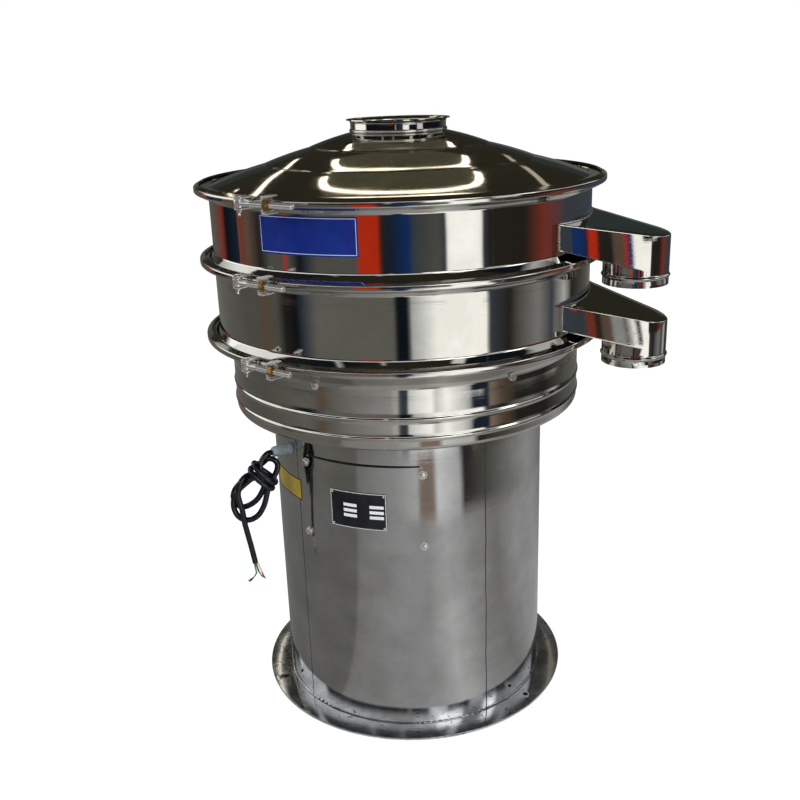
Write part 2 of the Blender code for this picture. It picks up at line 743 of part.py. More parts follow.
def spout(name, frame, angle, joint_z, drop, top_slope):
    """Sheet-metal chute welded to a frame's wall, sloping down to a beaded round outlet."""
    spot = make_empty(f"{name}_direction", AXIS, turn=radians(angle - 90))
    half = radians(SPOUT_HALF_ANGLE)
    corner_x = FRAME_R * cos(half)
    half_width = FRAME_R * sin(half)
    floor = joint_z + SPOUT_FLOOR_LIFT
    lip = joint_z - drop
    start_x = corner_x - OVERRUN
    inner_r = SPOUT_PIPE_R - SPOUT_SHEET

    def roof_height(x, y):
        return floor + SPOUT_H - top_slope * (x - corner_x)

    def floor_height(x, y):
        return floor - SPOUT_FLOOR_SLOPE_SHARE * (x - corner_x)

    def inner_roof(x, y):
        return roof_height(x, y) - SPOUT_SHEET

    def inner_floor(x, y):
        return floor_height(x, y) + SPOUT_SHEET

    outline, angles = spout_outline(corner_x, half_width, SPOUT_PIPE_R, start_x)
    chute = prism(name, outline, floor_height, roof_height, spot, STEEL_BRIGHT)
    pipe_top = roof_height(SPOUT_REACH + SPOUT_PIPE_R, 0) - 2 * SPOUT_SHEET
    bead = lip + SPOUT_BEAD_RISE
    pipe = pipe_stack(f"{name}_pipe", [
        (SPOUT_PIPE_R, lip), (SPOUT_PIPE_R, bead - SPOUT_BEAD_H / 2), (SPOUT_PIPE_R + SPOUT_BEAD_OUT, bead),
        (SPOUT_PIPE_R, bead + SPOUT_BEAD_H / 2), (SPOUT_PIPE_R, pipe_top),
    ], angles, spot)
    combine(chute, pipe, "UNION")
    outline, angles = spout_outline(corner_x, half_width - SPOUT_SHEET, inner_r, start_x - OVERRUN)
    void = prism(f"{name}_void", outline, inner_floor, inner_roof, spot)
    combine(chute, void, "DIFFERENCE")
    bore_top = roof_height(SPOUT_REACH + SPOUT_PIPE_R, 0) - 3 * SPOUT_SHEET
    bore = pipe_stack(f"{name}_bore", [(inner_r, lip - OVERRUN), (inner_r, bore_top)], angles, spot)
    combine(chute, bore, "DIFFERENCE")
    wall = rod(f"{name}_wall", FRAME_R + GAP, lip - OVERRUN, joint_z + UPPER_FRAME_H, AXIS, sides=STEPS)
    combine(chute, wall, "DIFFERENCE")
    combine(frame, void, "DIFFERENCE")


def frames():
    """Two screen frames with lipped ends, the collecting tray welded in the lower one, and the spouts."""
    lower_top = list(reversed(lip_points(BOTTOM_JOINT_Z, 1)))
    lower = turned(
        "lower_frame", sheet_section(lip_points(MIDDLE_JOINT_Z, -1) + lower_top, SHEET), AXIS, STEEL_BRIGHT)
    upper_foot = list(reversed(lip_points(MIDDLE_JOINT_Z, 1)))
    upper = turned(
        "upper_frame", sheet_section(lip_points(TOP_JOINT_Z, -1) + upper_foot, SHEET), AXIS, STEEL_BRIGHT)
    spout("lower_spout", lower, LOWER_SPOUT_ANGLE, BOTTOM_JOINT_Z, LOWER_SPOUT_DROP, LOWER_SPOUT_SLOPE_SHARE)
    spout("upper_spout", upper, UPPER_SPOUT_ANGLE, MIDDLE_JOINT_Z, UPPER_SPOUT_DROP, UPPER_SPOUT_SLOPE_SHARE)
    edge_r = FRAME_R - SHEET - GAP
    edge_z = BOTTOM_JOINT_Z + TRAY_EDGE_LIFT
    outer = [
        (edge_r * radius, edge_z + TRAY_RISE * height)
        for radius, height in zip(TRAY_RADIUS_SHARES, TRAY_HEIGHT_SHARES)]
    outer.append((edge_r, edge_z - TRAY_EDGE_H))
    crown = (0.0, edge_z + TRAY_RISE)
    inner = [tuple(point) for point in reversed(offset_line(outer, SHEET))]
    turned("collecting_tray", [crown, *outer, *inner, (0.0, crown[1] - SHEET)], AXIS, STEEL_BRIGHT)


def cover():
    """Spun conical cover in three stepped zones, and the inlet collar through its middle."""
    lip_z = TOP_JOINT_Z + LIP_BACK
    foot_r = COVER_FOOT_R
    outer = [(LIP_R, lip_z), (foot_r, lip_z)]
    height = lip_z
    radius = foot_r
    for step_r in (COVER_STEP_2_R, COVER_STEP_1_R):
        height += COVER_SLOPE_SHARE * (radius - step_r - COVER_STEP_W)
        outer.append((step_r + COVER_STEP_W, height))
        height += COVER_STEP_H
        outer.append((step_r, height))
        radius = step_r
    hole_r = COLLAR_R + GAP
    height += COVER_SLOPE_SHARE * (radius - hole_r)
    outer.append((hole_r, height))
    outer.reverse()
    section = sheet_section(outer, SHEET)
    section[-1] = (hole_r, section[-1][1])
    turned("cover", section, AXIS, STEEL_BRIGHT)
    top = height + COLLAR_H
    bead = height + COLLAR_BEAD_RISE
    collar = [
        (COLLAR_R + COLLAR_LIP_W, top - SHEET),
        (COLLAR_R + COLLAR_LIP_W - COLLAR_LIP_FLAT, top - SHEET),
        (COLLAR_R, top - SHEET - COLLAR_FLARE_H),
        (COLLAR_R, bead + COLLAR_BEAD_H),
        (COLLAR_R + COLLAR_BEAD_OUT, bead),
        (COLLAR_R, bead - COLLAR_BEAD_H + GAP),
        (COLLAR_R, height - COLLAR_TUCK),
    ]
    turned("inlet_collar", sheet_section(collar, SHEET), AXIS, STEEL_BRIGHT)


def seals_and_screen():
    """Gaskets in the three joints, and the screen: its ring, the fine mesh and its support mesh."""
    inner = LIP_R - GASKET_IN
    for name, joint_z in (("bottom_gasket", BOTTOM_JOINT_Z), ("top_gasket", TOP_JOINT_Z)):
        turned(
            name, ring_section(LIP_R, inner, joint_z + JOINT_HALF - GAP, joint_z - JOINT_HALF + GAP),
            AXIS, RUBBER)
    rim_low = MIDDLE_JOINT_Z - JOINT_HALF + GAP
    rim_top = rim_low + SCREEN_RIM_T
    rim_in = LIP_R - SCREEN_RIM_W
    turned("screen_ring", ring_section(LIP_R, rim_in, rim_top, rim_low), AXIS, STEEL_BRIGHT)
    turned(
        "middle_gasket", ring_section(LIP_R, inner, MIDDLE_JOINT_Z + JOINT_HALF - GAP, rim_top + GAP),
        AXIS, RUBBER)
    rod(
        "fine_mesh", rim_in + SCREEN_LAP, rim_top + GAP, rim_top + GAP + FINE_MESH_T, AXIS, MESH_GREY,
        sides=STEPS)
    rod("support_mesh", rim_in - GAP, rim_top - SUPPORT_MESH_T, rim_top, AXIS, MESH_GREY, sides=STEPS)


def clamp(name, angle, joint_z, bolt_length):
    """Split clamp ring with lugs and saddle, and its hinge pin, swing bolt and nut."""
    place = make_empty(f"{name}_closure", AXIS, (0, 0, joint_z), radians(angle) + closure_half_angle())
    band = [
        (RING_R - RING_SHOULDER_W, joint_z + RING_HALF_H), (RING_R, joint_z + RING_BAND_HALF_H),
        (RING_R, joint_z - RING_BAND_HALF_H), (RING_R - RING_SHOULDER_W, joint_z - RING_HALF_H),
    ]
    ring = turned(f"{name}_clamp_ring", sheet_section(band, RING_T), AXIS, STEEL_BRIGHT)
    split = box(
        f"{name}_split", (-RING_GAP_HALF, -RING_R - OVERRUN, -RING_HALF_H * 2),
        (RING_GAP_HALF, -RING_R + OVERRUN, RING_HALF_H * 2), place)
    combine(ring, split, "DIFFERENCE")
    line_y = -BOLT_LINE_R
    lug_low = EYE_HALF_H + GAP
    for label, low in (("upper", lug_low), ("lower", -lug_low - LUG_T)):
        lug = box(
            f"{name}_{label}_lug", (PIN_X - LUG_BACK, line_y - LUG_OUT, low),
            (PIN_X + LUG_FRONT, line_y + LUG_IN, low + LUG_T), place)
        combine(ring, lug, "UNION")
    back = SADDLE_X - SADDLE_T
    front = SADDLE_X + SADDLE_FLANGE_L
    inside = SADDLE_HALF_H - SADDLE_T
    channel = [
        (back, -SADDLE_HALF_H), (front, -SADDLE_HALF_H), (front, -inside), (SADDLE_X, -inside),
        (SADDLE_X, inside), (front, inside), (front, SADDLE_HALF_H), (back, SADDLE_HALF_H),
    ]
    saddle = prism(
        f"{name}_saddle", channel, level(BOLT_LINE_R - SADDLE_IN), level(BOLT_LINE_R + SADDLE_OUT), place,
        turn=(pi / 2, 0, 0))
    combine(ring, saddle, "UNION")
    slot_half = BOLT_R + SLOT_CLEAR
    slot = box(
        f"{name}_slot", (SADDLE_X - SADDLE_T - SLOT_CLEAR, line_y - OVERRUN, -slot_half),
        (SADDLE_X + SADDLE_T, line_y + slot_half, slot_half), place)
    combine(ring, slot, "DIFFERENCE")
    pin_hole = rod(
        f"{name}_pin_hole", PIN_R + GAP, -OVERRUN, OVERRUN, place, place=(PIN_X, line_y, 0))
    combine(ring, pin_hole, "DIFFERENCE")
    head_low = lug_low + LUG_T + GAP
    turned(f"{name}_clamp_pin", axis_section([
        (PIN_HEAD_R, head_low + PIN_HEAD_H), (PIN_HEAD_R, head_low), (PIN_R, head_low),
        (PIN_R, -head_low), (PIN_TAIL_R, -head_low), (PIN_TAIL_R, -head_low - PIN_TAIL / 2),
        (PIN_R / 2, -head_low - PIN_TAIL),
    ]), place, STEEL_BRIGHT, steps=PIN_STEPS, place=(PIN_X, line_y, 0))
    hinge = make_empty(f"{name}_bolt_hinge", place, (PIN_X, line_y, 0))
    bolt = rod(f"{name}_swing_bolt", EYE_R, -EYE_HALF_H, EYE_HALF_H, hinge, STEEL_BRIGHT)
    shank = rod(
        f"{name}_shank", BOLT_R, 0.0, bolt_length, hinge, turn=(0, pi / 2, 0))
    combine(bolt, shank, "UNION")
    eye = rod(f"{name}_eye_bore", PIN_R + HOLE_CLEAR, -OVERRUN, OVERRUN, hinge)
    combine(bolt, eye, "DIFFERENCE")
    seat = SADDLE_X - PIN_X + NUT_GAP
    turned(f"{name}_nut", [
        (BOLT_R + GAP, seat), (NUT_CORNER_R, seat), (NUT_CORNER_R, seat + NUT_T),
        (NUT_COLLAR_R, seat + NUT_T), (NUT_COLLAR_R, seat + NUT_T + NUT_COLLAR_T),
        (BOLT_R + GAP, seat + NUT_T + NUT_COLLAR_T),
    ][::-1], hinge, BRASS, steps=SMALL_STEPS, turn=(0, pi / 2, 0))


def closure_half_angle():
    """Angle from the hinge pin to the middle of the closure."""
    return math.asin(-PIN_X / BOLT_LINE_R)


def clamps():
    joints = (TOP_JOINT_Z, MIDDLE_JOINT_Z, BOTTOM_JOINT_Z)
    lengths = (TOP_BOLT_LENGTH, MIDDLE_BOLT_LENGTH, BOTTOM_BOLT_LENGTH)
    for name, angle, joint_z, length in zip(("top", "middle", "bottom"), CLAMP_ANGLES, joints, lengths):
        clamp(name, angle, joint_z, length)


def cable():
    """Free supply cable: the lead out of the gland, the tied hank, the tail and its stripped cores."""
    tube("cable_lead", smooth_route(LEAD_ROUTE, CABLE_STEP), CABLE_R, 2, AXIS, CABLE_BLACK)
    tail = smooth_route(TAIL_ROUTE, CABLE_STEP)
    tube("cable_tail", tail, CABLE_R, 2, AXIS, CABLE_BLACK)
    top = Vector(HANK_TOP)
    foot = Vector(HANK_FOOT)
    along = top - foot
    lean = atan2(along.y, along.x)
    open_angle = acos((HANK_FOOT_R - HANK_TOP_R) / along.length)
    outline = []
    for step in range(7):
        turn = lean - open_angle + 2 * open_angle * step / 6
        outline.append((top.x + HANK_TOP_R * cos(turn), top.y + HANK_TOP_R * sin(turn)))
    for step in range(11):
        turn = lean + open_angle + (tau - 2 * open_angle) * step / 10
        outline.append((foot.x + HANK_FOOT_R * cos(turn), foot.y + HANK_FOOT_R * sin(turn)))
    prism(
        "cable_hank", outline, level(-HANK_DEPTH / 2), level(HANK_DEPTH / 2), AXIS, CABLE_BLACK,
        place=(0, HANK_Y, 0), turn=(pi / 2, 0, 0))
    hanging = (tail[-1] - tail[-2]).normalized()
    shape = bmesh.new()
    bmesh.ops.create_cone(
        shape, cap_ends=True, segments=SMALL_STEPS, radius1=CORES_FOOT_R, radius2=CORES_TOP_R, depth=CORES_L,
        matrix=Matrix.Diagonal((1.0, CORES_FOOT_DEPTH_SHARE, 1.0, 1.0)))
    mesh = bpy.data.meshes.new("cable_cores")
    shape.to_mesh(mesh)
    shape.free()
    add_object(
        "cable_cores", mesh, AXIS, BRASS, place=tail[-1] + hanging * (CORES_L / 2 + GAP),
        turn=(0, atan2(-hanging.x, -hanging.z), 0))


clear_scene()
SIEVE = make_collection("vibrating_sieve")
CUTTERS = make_collection("cutters")
STEEL_BRIGHT = make_material("polished stainless steel", (0.62, 0.61, 0.58), 0.10, 1.0)
STEEL_DULL = make_material("dull stainless steel", (0.50, 0.49, 0.46), 0.24, 1.0)
STEEL_WORN = make_material("worn stainless steel", (0.48, 0.46, 0.42), 0.34, 1.0)
SPRING_STEEL = make_material("painted spring steel", (0.08, 0.08, 0.09), 0.45, 0.3)
CAST_GREY = make_material("painted cast iron", (0.22, 0.25, 0.27), 0.55, 0.2)
MESH_GREY = make_material("woven wire", (0.45, 0.45, 0.43), 0.35, 1.0)
RUBBER = make_material("white silicone rubber", (0.78, 0.77, 0.72), 0.60, 0.0)
BRASS = make_material("brass", (0.72, 0.52, 0.24), 0.25, 1.0)
PLATE_BLACK = make_material("black enamelled plate", (0.02, 0.02, 0.025), 0.35, 0.0)
GLAND_GREY = make_material("grey nylon", (0.34, 0.40, 0.43), 0.45, 0.0)
CABLE_BLACK = make_material("black cable jacket", (0.015, 0.016, 0.018), 0.40, 0.0)

AXIS = bpy.data.objects.new("machine_axis", None)
SIEVE.objects.link(AXIS)
AXIS.location.x = AXIS_X

base()
door()
gland()
springs()
bottom_frame()
motor()
frames()
cover()
seals_and_screen()
clamps()
cable()
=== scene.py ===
"""Looks of the vibrating sieve: polished and worn stainless steel, the fine forms of its sheet metal,
its fittings and its real cable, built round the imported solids. Metres, +Z up. Angles round the
machine are counted from the front (-Y) towards +X."""

import json
from math import acos, asin, atan2, cos, degrees, pi, radians, sin, tan, tau

import bmesh
import bpy
import numpy as np
from mathutils import Matrix, Vector


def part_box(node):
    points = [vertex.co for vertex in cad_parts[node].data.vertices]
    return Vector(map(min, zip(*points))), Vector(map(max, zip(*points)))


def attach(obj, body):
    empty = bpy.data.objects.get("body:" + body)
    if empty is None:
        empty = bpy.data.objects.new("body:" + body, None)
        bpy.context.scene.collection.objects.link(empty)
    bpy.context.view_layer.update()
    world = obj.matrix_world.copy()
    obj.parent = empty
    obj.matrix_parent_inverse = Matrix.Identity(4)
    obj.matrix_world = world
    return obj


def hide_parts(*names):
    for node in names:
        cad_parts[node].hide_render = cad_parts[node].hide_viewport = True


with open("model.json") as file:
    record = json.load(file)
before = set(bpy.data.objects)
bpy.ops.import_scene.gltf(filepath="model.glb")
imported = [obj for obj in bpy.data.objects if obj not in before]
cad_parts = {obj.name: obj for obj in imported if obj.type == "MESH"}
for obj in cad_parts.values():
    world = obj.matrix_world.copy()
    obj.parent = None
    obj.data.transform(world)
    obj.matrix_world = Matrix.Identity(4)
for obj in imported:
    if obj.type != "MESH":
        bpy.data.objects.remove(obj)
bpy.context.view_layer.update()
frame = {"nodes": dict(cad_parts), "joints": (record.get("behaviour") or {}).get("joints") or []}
NODES = frame["nodes"]
JOINTS = {joint["name"]: joint for joint in frame["joints"]}


def reach(node):
    """Outer radius of a turned node, from its widest point along Y."""
    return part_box(node)[1].y


# Sheet metal: clearance, walls, how far welds stand out, and the longest stretch of a profile
GAP = 0.0003
SHEET = 0.002
THIN_SHEET = 0.0018
WELD_OUT = 0.0006
LONGEST_STEP = 0.012

# Places read from the frame
AXIS_X = JOINTS["motor_spin"]["pos_m"][0]
LIP_R = reach("bottom_gasket")
FRAME_R = reach("collecting_tray") + SHEET + GAP
BASE_R = reach("base_cylinder")
FLANGE_R = reach("base_flange")
SKIRT_T = 0.0025
SKIRT_R = reach("motor_plate") + SKIRT_T + GAP
COLLAR_LIP_R = reach("inlet_collar")
BASE_TOP_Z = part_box("base_cylinder")[1].z
FLANGE_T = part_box("base_flange")[1].z
COLLAR_TOP_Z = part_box("inlet_collar")[1].z
JOINT_Z = {name: JOINTS[f"{name}_bolt_swing"]["pos_m"][2] for name in ("top", "middle", "bottom")}

# Large round shells
SEGMENTS = 256
LIP_BACK = 0.0055
LIP_FLAT = 0.012
LIP_FLARE_H = 0.014
COVER_FOOT_R = 0.398
COVER_SLOPE_SHARE = 0.300
COVER_STEPS_R = (0.281, 0.186)
COVER_STEP_H = 0.002
COVER_STEP_W = 0.0025
COVER_BULGE = 0.0016
COVER_FOOT_W = 0.006
COLLAR_R = 0.100
COLLAR_BEAD_OUT = 0.0025
COLLAR_BEAD_H = 0.0035
COLLAR_BEAD_RISE = 0.0035
COLLAR_FLARE_H = 0.0055
COLLAR_TUCK = 0.010
SKIRT_LIP_DROP = 0.0035
SKIRT_DROP = 0.168
SKIRT_BOLTS = 6
SKIRT_FLARE_H = 0.0305
SKIRT_BEADS = (0.104, 0.142)
SKIRT_BEAD_H = 0.006
SKIRT_BEAD_OUT = 0.0025
SKIRT_CURL = 0.011
BASE_WALL = 0.003
FLANGE_IN_R = BASE_R - 0.048
ANCHOR_R = FLANGE_R - 0.0275
ANCHOR_HOLE_R = 0.006
ANCHOR_ANGLES = (-70, 50, 170)

# Discharge spouts: corner angle, roof slope and outlet of each
SPOUT_HALF_ANGLE = 18.8
SPOUT_REACH = 0.5025
SPOUT_PIPE_R = 0.0645
SPOUT_H = 0.050
SPOUT_FLOOR_LIFT = 0.0285
SPOUT_FLOOR_SLOPE_SHARE = 0.31
SPOUT_BEAD_OUT = 0.0027
SPOUT_BEAD_H = 0.010
SPOUT_BEAD_RISE = 0.018
FRONT_STEPS = 61
BACK_STEPS = 81
SPOUT_EDGE_R = 0.0022
SPOUTS = {
    "upper_spout": (66.4, "middle", 0.0508, 0.174),
    "lower_spout": (68.7, "bottom", 0.0571, 0.25),
}

# Clamp closures
RING_OUT = 0.0085
RING_T = 0.0032
RING_HALF_H = 0.011
RING_BAND_HALF_H = 0.0055
RING_SHOULDER_W = 0.0107
RING_GAP_HALF = 0.019
RING_R = LIP_R + RING_OUT
BOLT_LINE_R = RING_R + 0.016
PIN_X = -0.032
PIN_R = 0.004
PIN_HEAD_R = 0.0065
PIN_HEAD_H = 0.003
PIN_TAIL = 0.012
EYE_R = 0.009
EYE_HALF_H = 0.008
LUG_T = 0.003
LUG_BACK = 0.010
LUG_FRONT = 0.011
LUG_ROUND = 0.0085
LUG_CHAMFER = 0.0004
LUG_IN = 0.0265
SADDLE_X = 0.032
SADDLE_T = 0.003
SADDLE_HALF_H = 0.0165
SADDLE_OUT = 0.0085
SADDLE_IN = 0.0205
SADDLE_FLANGE_L = 0.012
BOLT_R = 0.006
THREAD_PITCH = 0.00175
THREAD_DEPTH = 0.00075
NUT_GAP = 0.0006
NUT_CORNER_R = 0.011
NUT_T = 0.010
NUT_COLLAR_R = 0.0082
NUT_COLLAR_T = 0.003
NUT_CHAMFER_SLOPE = 1.9
SHANK_FROM = 0.006
THREAD_FROM = 0.030
BOLT_LENGTHS = {"top": 0.130, "middle": 0.122, "bottom": 0.118}

# Door, plates and their fasteners on the base
DOOR_MID_ANGLE = -20.1
DOOR_W = 0.273
DOOR_H = 0.193
DOOR_Z = 0.5185
DOOR_T = 0.002
DOOR_CORNER_R = 0.009
DOOR_BOLT_INSET_X = 0.0075
DOOR_BOLT_INSET_Z = 0.017
DOOR_BOLT_R = 0.0073
DOOR_BOLT_H = 0.005
WASHER_R = 0.0098
WASHER_T = 0.0009
PLATE_MID_ANGLE = -20.7
PLATE_W = 0.125
PLATE_H = 0.082
PLATE_Z = 0.516
PLATE_T = 0.001
PRINT_OUT = 0.00015
RIVET_INSET = 0.0055
RIVET_R = 0.0022
RIVET_H = 0.0011
SKIRT_BOLT_ANGLE = -27.4
SKIRT_BOLT_DROP = 0.0435
SKIRT_BOLT_R = 0.0075
SKIRT_BOLT_H = 0.0045
BANNER_ANGLES = (-40.4, -11.0)
BANNER_Z = (1.058, 1.129)
LABEL_ANGLES = (-73.0, -49.6)
LABEL_Z = (0.5025, 0.5505)
STICKER_OUT = 0.0005
STICKER_T = 0.0003
SEAM_ANGLES = (-51.3, 31.2)

# Cable: gland, hank and tail, in the same places as their solids
CABLE_R = 0.0061
GLAND_ANGLE = -55.6
GLAND_Z = 0.6155
GLAND_LENGTH = 0.046
GLAND_HEX_R = 0.0125
GLAND_BARREL_R = 0.0112
GLAND_NECK_R = 0.0104
HANK_FOOT = (-0.345, 0.500)
HANK_ALONG = (0.531, 0.847)
HANK_Y = -0.215
LEAD_ROUTE = (
    (-0.28884, -0.19778, 0.6155),
    (-0.2960, -0.2027, 0.6150),
    (-0.3020, -0.2065, 0.6110),
    (-0.3075, -0.2090, 0.6040),
    (-0.3110, -0.2140, 0.5950),
)
# Points of the hank in mm: along it from its foot, across it to the right, and away from the camera
HANK_ROUTE = (
    (90, -18, -3), (76, -14, 2), (62, -18, 8), (50, -30, 11), (34, -38.5, 12), (16.1, -41.4, 12),
    (-1, -37, 11.5), (-12.5, -24, 11), (-11, -8, 10.5), (2, 3, 10), (20, 9.5, 8.5), (38, 10.5, 7),
    (56, 8.5, 6), (70, 3, 5.5), (75, -7, 5), (70, -17, 4.5), (58, -24, 2), (42, -30, 0.5), (24, -35, 0),
    (4.2, -35.2, -0.5), (-15.8, -26, -1), (-28.5, -11, -1.5), (-31, 5, -1.5), (-23, 19, -2.5),
    (-5.9, 27.4, -4), (12, 28.5, -5), (29, 26.2, -5), (53.7, 19, -5), (72, 15, -4), (90.1, 15, -1),
    (106, 13.5, 2), (117, 7.5, 4.5), (120.5, -4, 6), (115, -14, 8.5), (105, -17.5, 11.5), (96, -20, 15),
    (91.5, -29, 12), (94.5, -35, 1), (94, -29, -13), (90, -15, -18.5), (85.5, 2, -18.5), (81.5, 16, -14),
    (79.5, 23.6, -2), (79, 20, 11), (80, 6, 18), (82, -12, 18.5), (83, -27, 13), (81.5, -34.5, 3),
    (80, -35, -5), (78.5, -29, -15), (75, -15, -19), (71, 2, -19), (67, 17, -14), (65, 24.2, -2),
    (64, 20, 11), (65, 6, 17.5), (66, -10, 18), (65, -25, 13), (60, -35, 3), (51, -39.5, -6),
    (39.5, -39, -10.5), (17.1, -30.4, -12.5), (-6.4, -8.9, -13), (-33.9, 10.7, -8),
)
TAIL_ROUTE = (
    (-0.3520, -0.2200, 0.4480),
    (-0.3495, -0.2180, 0.4300),
    (-0.3465, -0.2160, 0.4100),
    (-0.3440, -0.2155, 0.3930),
    (-0.3418, -0.2150, 0.3780),
    (-0.3402, -0.2150, 0.3665),
)
CORE_R = 0.0019
STRAND_R = 0.0006
STRANDS = 6

# Camera of the photograph: place, turn round Z, dip, roll and focal length
CAMERA_Y = -2.092
CAMERA_Z = 1.3647
CAMERA_TURN = -0.0074
CAMERA_DIP = 0.3266
CAMERA_ROLL = -0.0338
CAMERA_LENS = 43.447


def put(name, data):
    """Object at the origin made of a mesh, curve, lamp or camera, and linked to the scene."""
    item = bpy.data.objects.new(name, data)
    bpy.context.scene.collection.objects.link(item)
    return item


def camera():
    """Pinhole camera that sees the machine as the photograph does."""
    ahead = Vector((
        sin(CAMERA_TURN) * cos(CAMERA_DIP), cos(CAMERA_TURN) * cos(CAMERA_DIP), -sin(CAMERA_DIP)))
    level_right = Vector((cos(CAMERA_TURN), -sin(CAMERA_TURN), 0))
    level_up = level_right.cross(ahead)
    right = cos(CAMERA_ROLL) * level_right + sin(CAMERA_ROLL) * level_up
    up = cos(CAMERA_ROLL) * level_up - sin(CAMERA_ROLL) * level_right
    data = bpy.data.cameras.new("camera")
    data.lens = CAMERA_LENS
    data.clip_end = 60
    item = put("camera", data)
    columns = Matrix((right, up, -ahead)).transposed().to_4x4()
    item.matrix_world = Matrix.Translation((AXIS_X, CAMERA_Y, CAMERA_Z)) @ columns
    bpy.context.scene.camera = item


# Materials


def linear(hex_code, alpha=1.0):
    """Linear colour of an sRGB hex value."""
    parts = [int(hex_code[i:i + 2], 16) / 255 for i in (1, 3, 5)]
    return (*[p / 12.92 if p <= 0.04045 else ((p + 0.055) / 1.055) ** 2.4 for p in parts], alpha)


def add(tree, kind, inputs=None, **settings):
    """Adds a node, sets its properties, and sets or links its inputs by name or number."""
    made = tree.nodes.new(kind)
    for name, value in settings.items():
        setattr(made, name, value)
    for name, value in (inputs or {}).items():
        if isinstance(value, bpy.types.NodeSocket):
            tree.links.new(value, made.inputs[name])
        else:
            made.inputs[name].default_value = value
    return made


def new_material(name, **constants):
    """Material with a Principled shader whose constant inputs are given by name, _ for a space."""
    material = bpy.data.materials.new(name)
    material.use_nodes = True
    tree = material.node_tree
    shader = tree.nodes["Principled BSDF"]
    for key, value in constants.items():
        shader.inputs[key.replace("_", " ")].default_value = value
    return material, tree, shader


def ramp(tree, fac, stops):
    """Colour ramp from a list of positions and colours."""
    made = add(tree, "ShaderNodeValToRGB", {"Fac": fac})
    elements = made.color_ramp.elements
    while len(elements) < len(stops):
        elements.new(0.5)
    for element, (position, colour) in zip(elements, stops):
        element.position = position
        element.color = colour
    return made.outputs["Color"]


def steel(name, tones, roughness, streak_mm=0.9, streak=0.00002, wave=0.0004, smudge_mm=60):
    """Stainless steel sheet. Polishing round the axis leaves fine level lines, hands and cloths
    leave soft smudges that change the gloss, and rolling leaves a faint long wave."""
    material, tree, shader = new_material(name, Metallic=1.0)
    place = add(tree, "ShaderNodeTexCoord").outputs["Object"]
    smudge = add(tree, "ShaderNodeTexNoise", {
        "Vector": place, "Scale": 1 / (smudge_mm * 0.001), "Detail": 5.0, "Roughness": 0.6}).outputs["Fac"]
    colour = ramp(tree, smudge, [(0.35, linear(tones[0])), (0.65, linear(tones[1]))])
    tree.links.new(colour, shader.inputs["Base Color"])
    spread = add(tree, "ShaderNodeMapRange", {
        "Value": smudge, "From Min": 0.3, "From Max": 0.7, "To Min": roughness[0], "To Max": roughness[1]})
    tree.links.new(spread.outputs["Result"], shader.inputs["Roughness"])
    squeezed = add(tree, "ShaderNodeMapping", {
        "Vector": place, "Scale": (6.0, 6.0, 1 / (streak_mm * 0.001))}).outputs["Vector"]
    lines = add(tree, "ShaderNodeTexNoise", {
        "Vector": squeezed, "Scale": 1.0, "Detail": 2.0}).outputs["Fac"]
    fine = add(tree, "ShaderNodeBump", {"Height": lines, "Strength": 1.0, "Distance": streak})
    swell = add(tree, "ShaderNodeTexNoise", {"Vector": place, "Scale": 7.0, "Detail": 1.0}).outputs["Fac"]
    slow = add(tree, "ShaderNodeBump", {
        "Height": swell, "Strength": 1.0, "Distance": wave, "Normal": fine.outputs["Normal"]})
    tree.links.new(slow.outputs["Normal"], shader.inputs["Normal"])
    return material


def stained_steel(name, tones, roughness, spot_mm=9):
    """Stainless steel that has been walked on and splashed: mottled film, spots and dull rubbed areas."""
    material, tree, shader = new_material(name, Metallic=0.95)
    place = add(tree, "ShaderNodeTexCoord").outputs["Object"]
    film = add(tree, "ShaderNodeTexNoise", {
        "Vector": place, "Scale": 14.0, "Detail": 8.0, "Roughness": 0.65}).outputs["Fac"]
    spots = add(tree, "ShaderNodeTexNoise", {
        "Vector": place, "Scale": 1 / (spot_mm * 0.001), "Detail": 3.0}).outputs["Fac"]
    base = ramp(tree, film, [(0.32, linear(tones[0])), (0.52, linear(tones[1])), (0.70, linear(tones[2]))])
    mark = ramp(tree, spots, [(0.60, linear("#ffffff")), (0.72, linear("#8c857c"))])
    mixed = add(tree, "ShaderNodeMix", {0: 1.0, 6: base, 7: mark}, data_type="RGBA", blend_type="MULTIPLY")
    tree.links.new(mixed.outputs[2], shader.inputs["Base Color"])
    dull = add(tree, "ShaderNodeMapRange", {
        "Value": film, "From Min": 0.3, "From Max": 0.7, "To Min": roughness[0], "To Max": roughness[1]})
    tree.links.new(dull.outputs["Result"], shader.inputs["Roughness"])
    bump = add(tree, "ShaderNodeBump", {"Height": spots, "Strength": 0.6, "Distance": 0.00002})
    tree.links.new(bump.outputs["Normal"], shader.inputs["Normal"])
    return material


def grained(name, tones, roughness, grain_mm, depth, metallic=0.0, **constants):
    """Any finish with a fine even grain: two close tones, and a bump of that grain size."""
    material, tree, shader = new_material(name, Metallic=metallic, Roughness=roughness, **constants)
    place = add(tree, "ShaderNodeTexCoord").outputs["Object"]
    grain = add(tree, "ShaderNodeTexNoise", {
        "Vector": place, "Scale": 1 / (grain_mm * 0.001), "Detail": 4.0}).outputs["Fac"]
    broad = add(tree, "ShaderNodeTexNoise", {
        "Vector": place, "Scale": 1 / (grain_mm * 0.012), "Detail": 3.0}).outputs["Fac"]
    colour = ramp(tree, broad, [(0.35, linear(tones[0])), (0.65, linear(tones[1]))])
    tree.links.new(colour, shader.inputs["Base Color"])
    bump = add(tree, "ShaderNodeBump", {"Height": grain, "Strength": 1.0, "Distance": depth})
    tree.links.new(bump.outputs["Normal"], shader.inputs["Normal"])
    return material


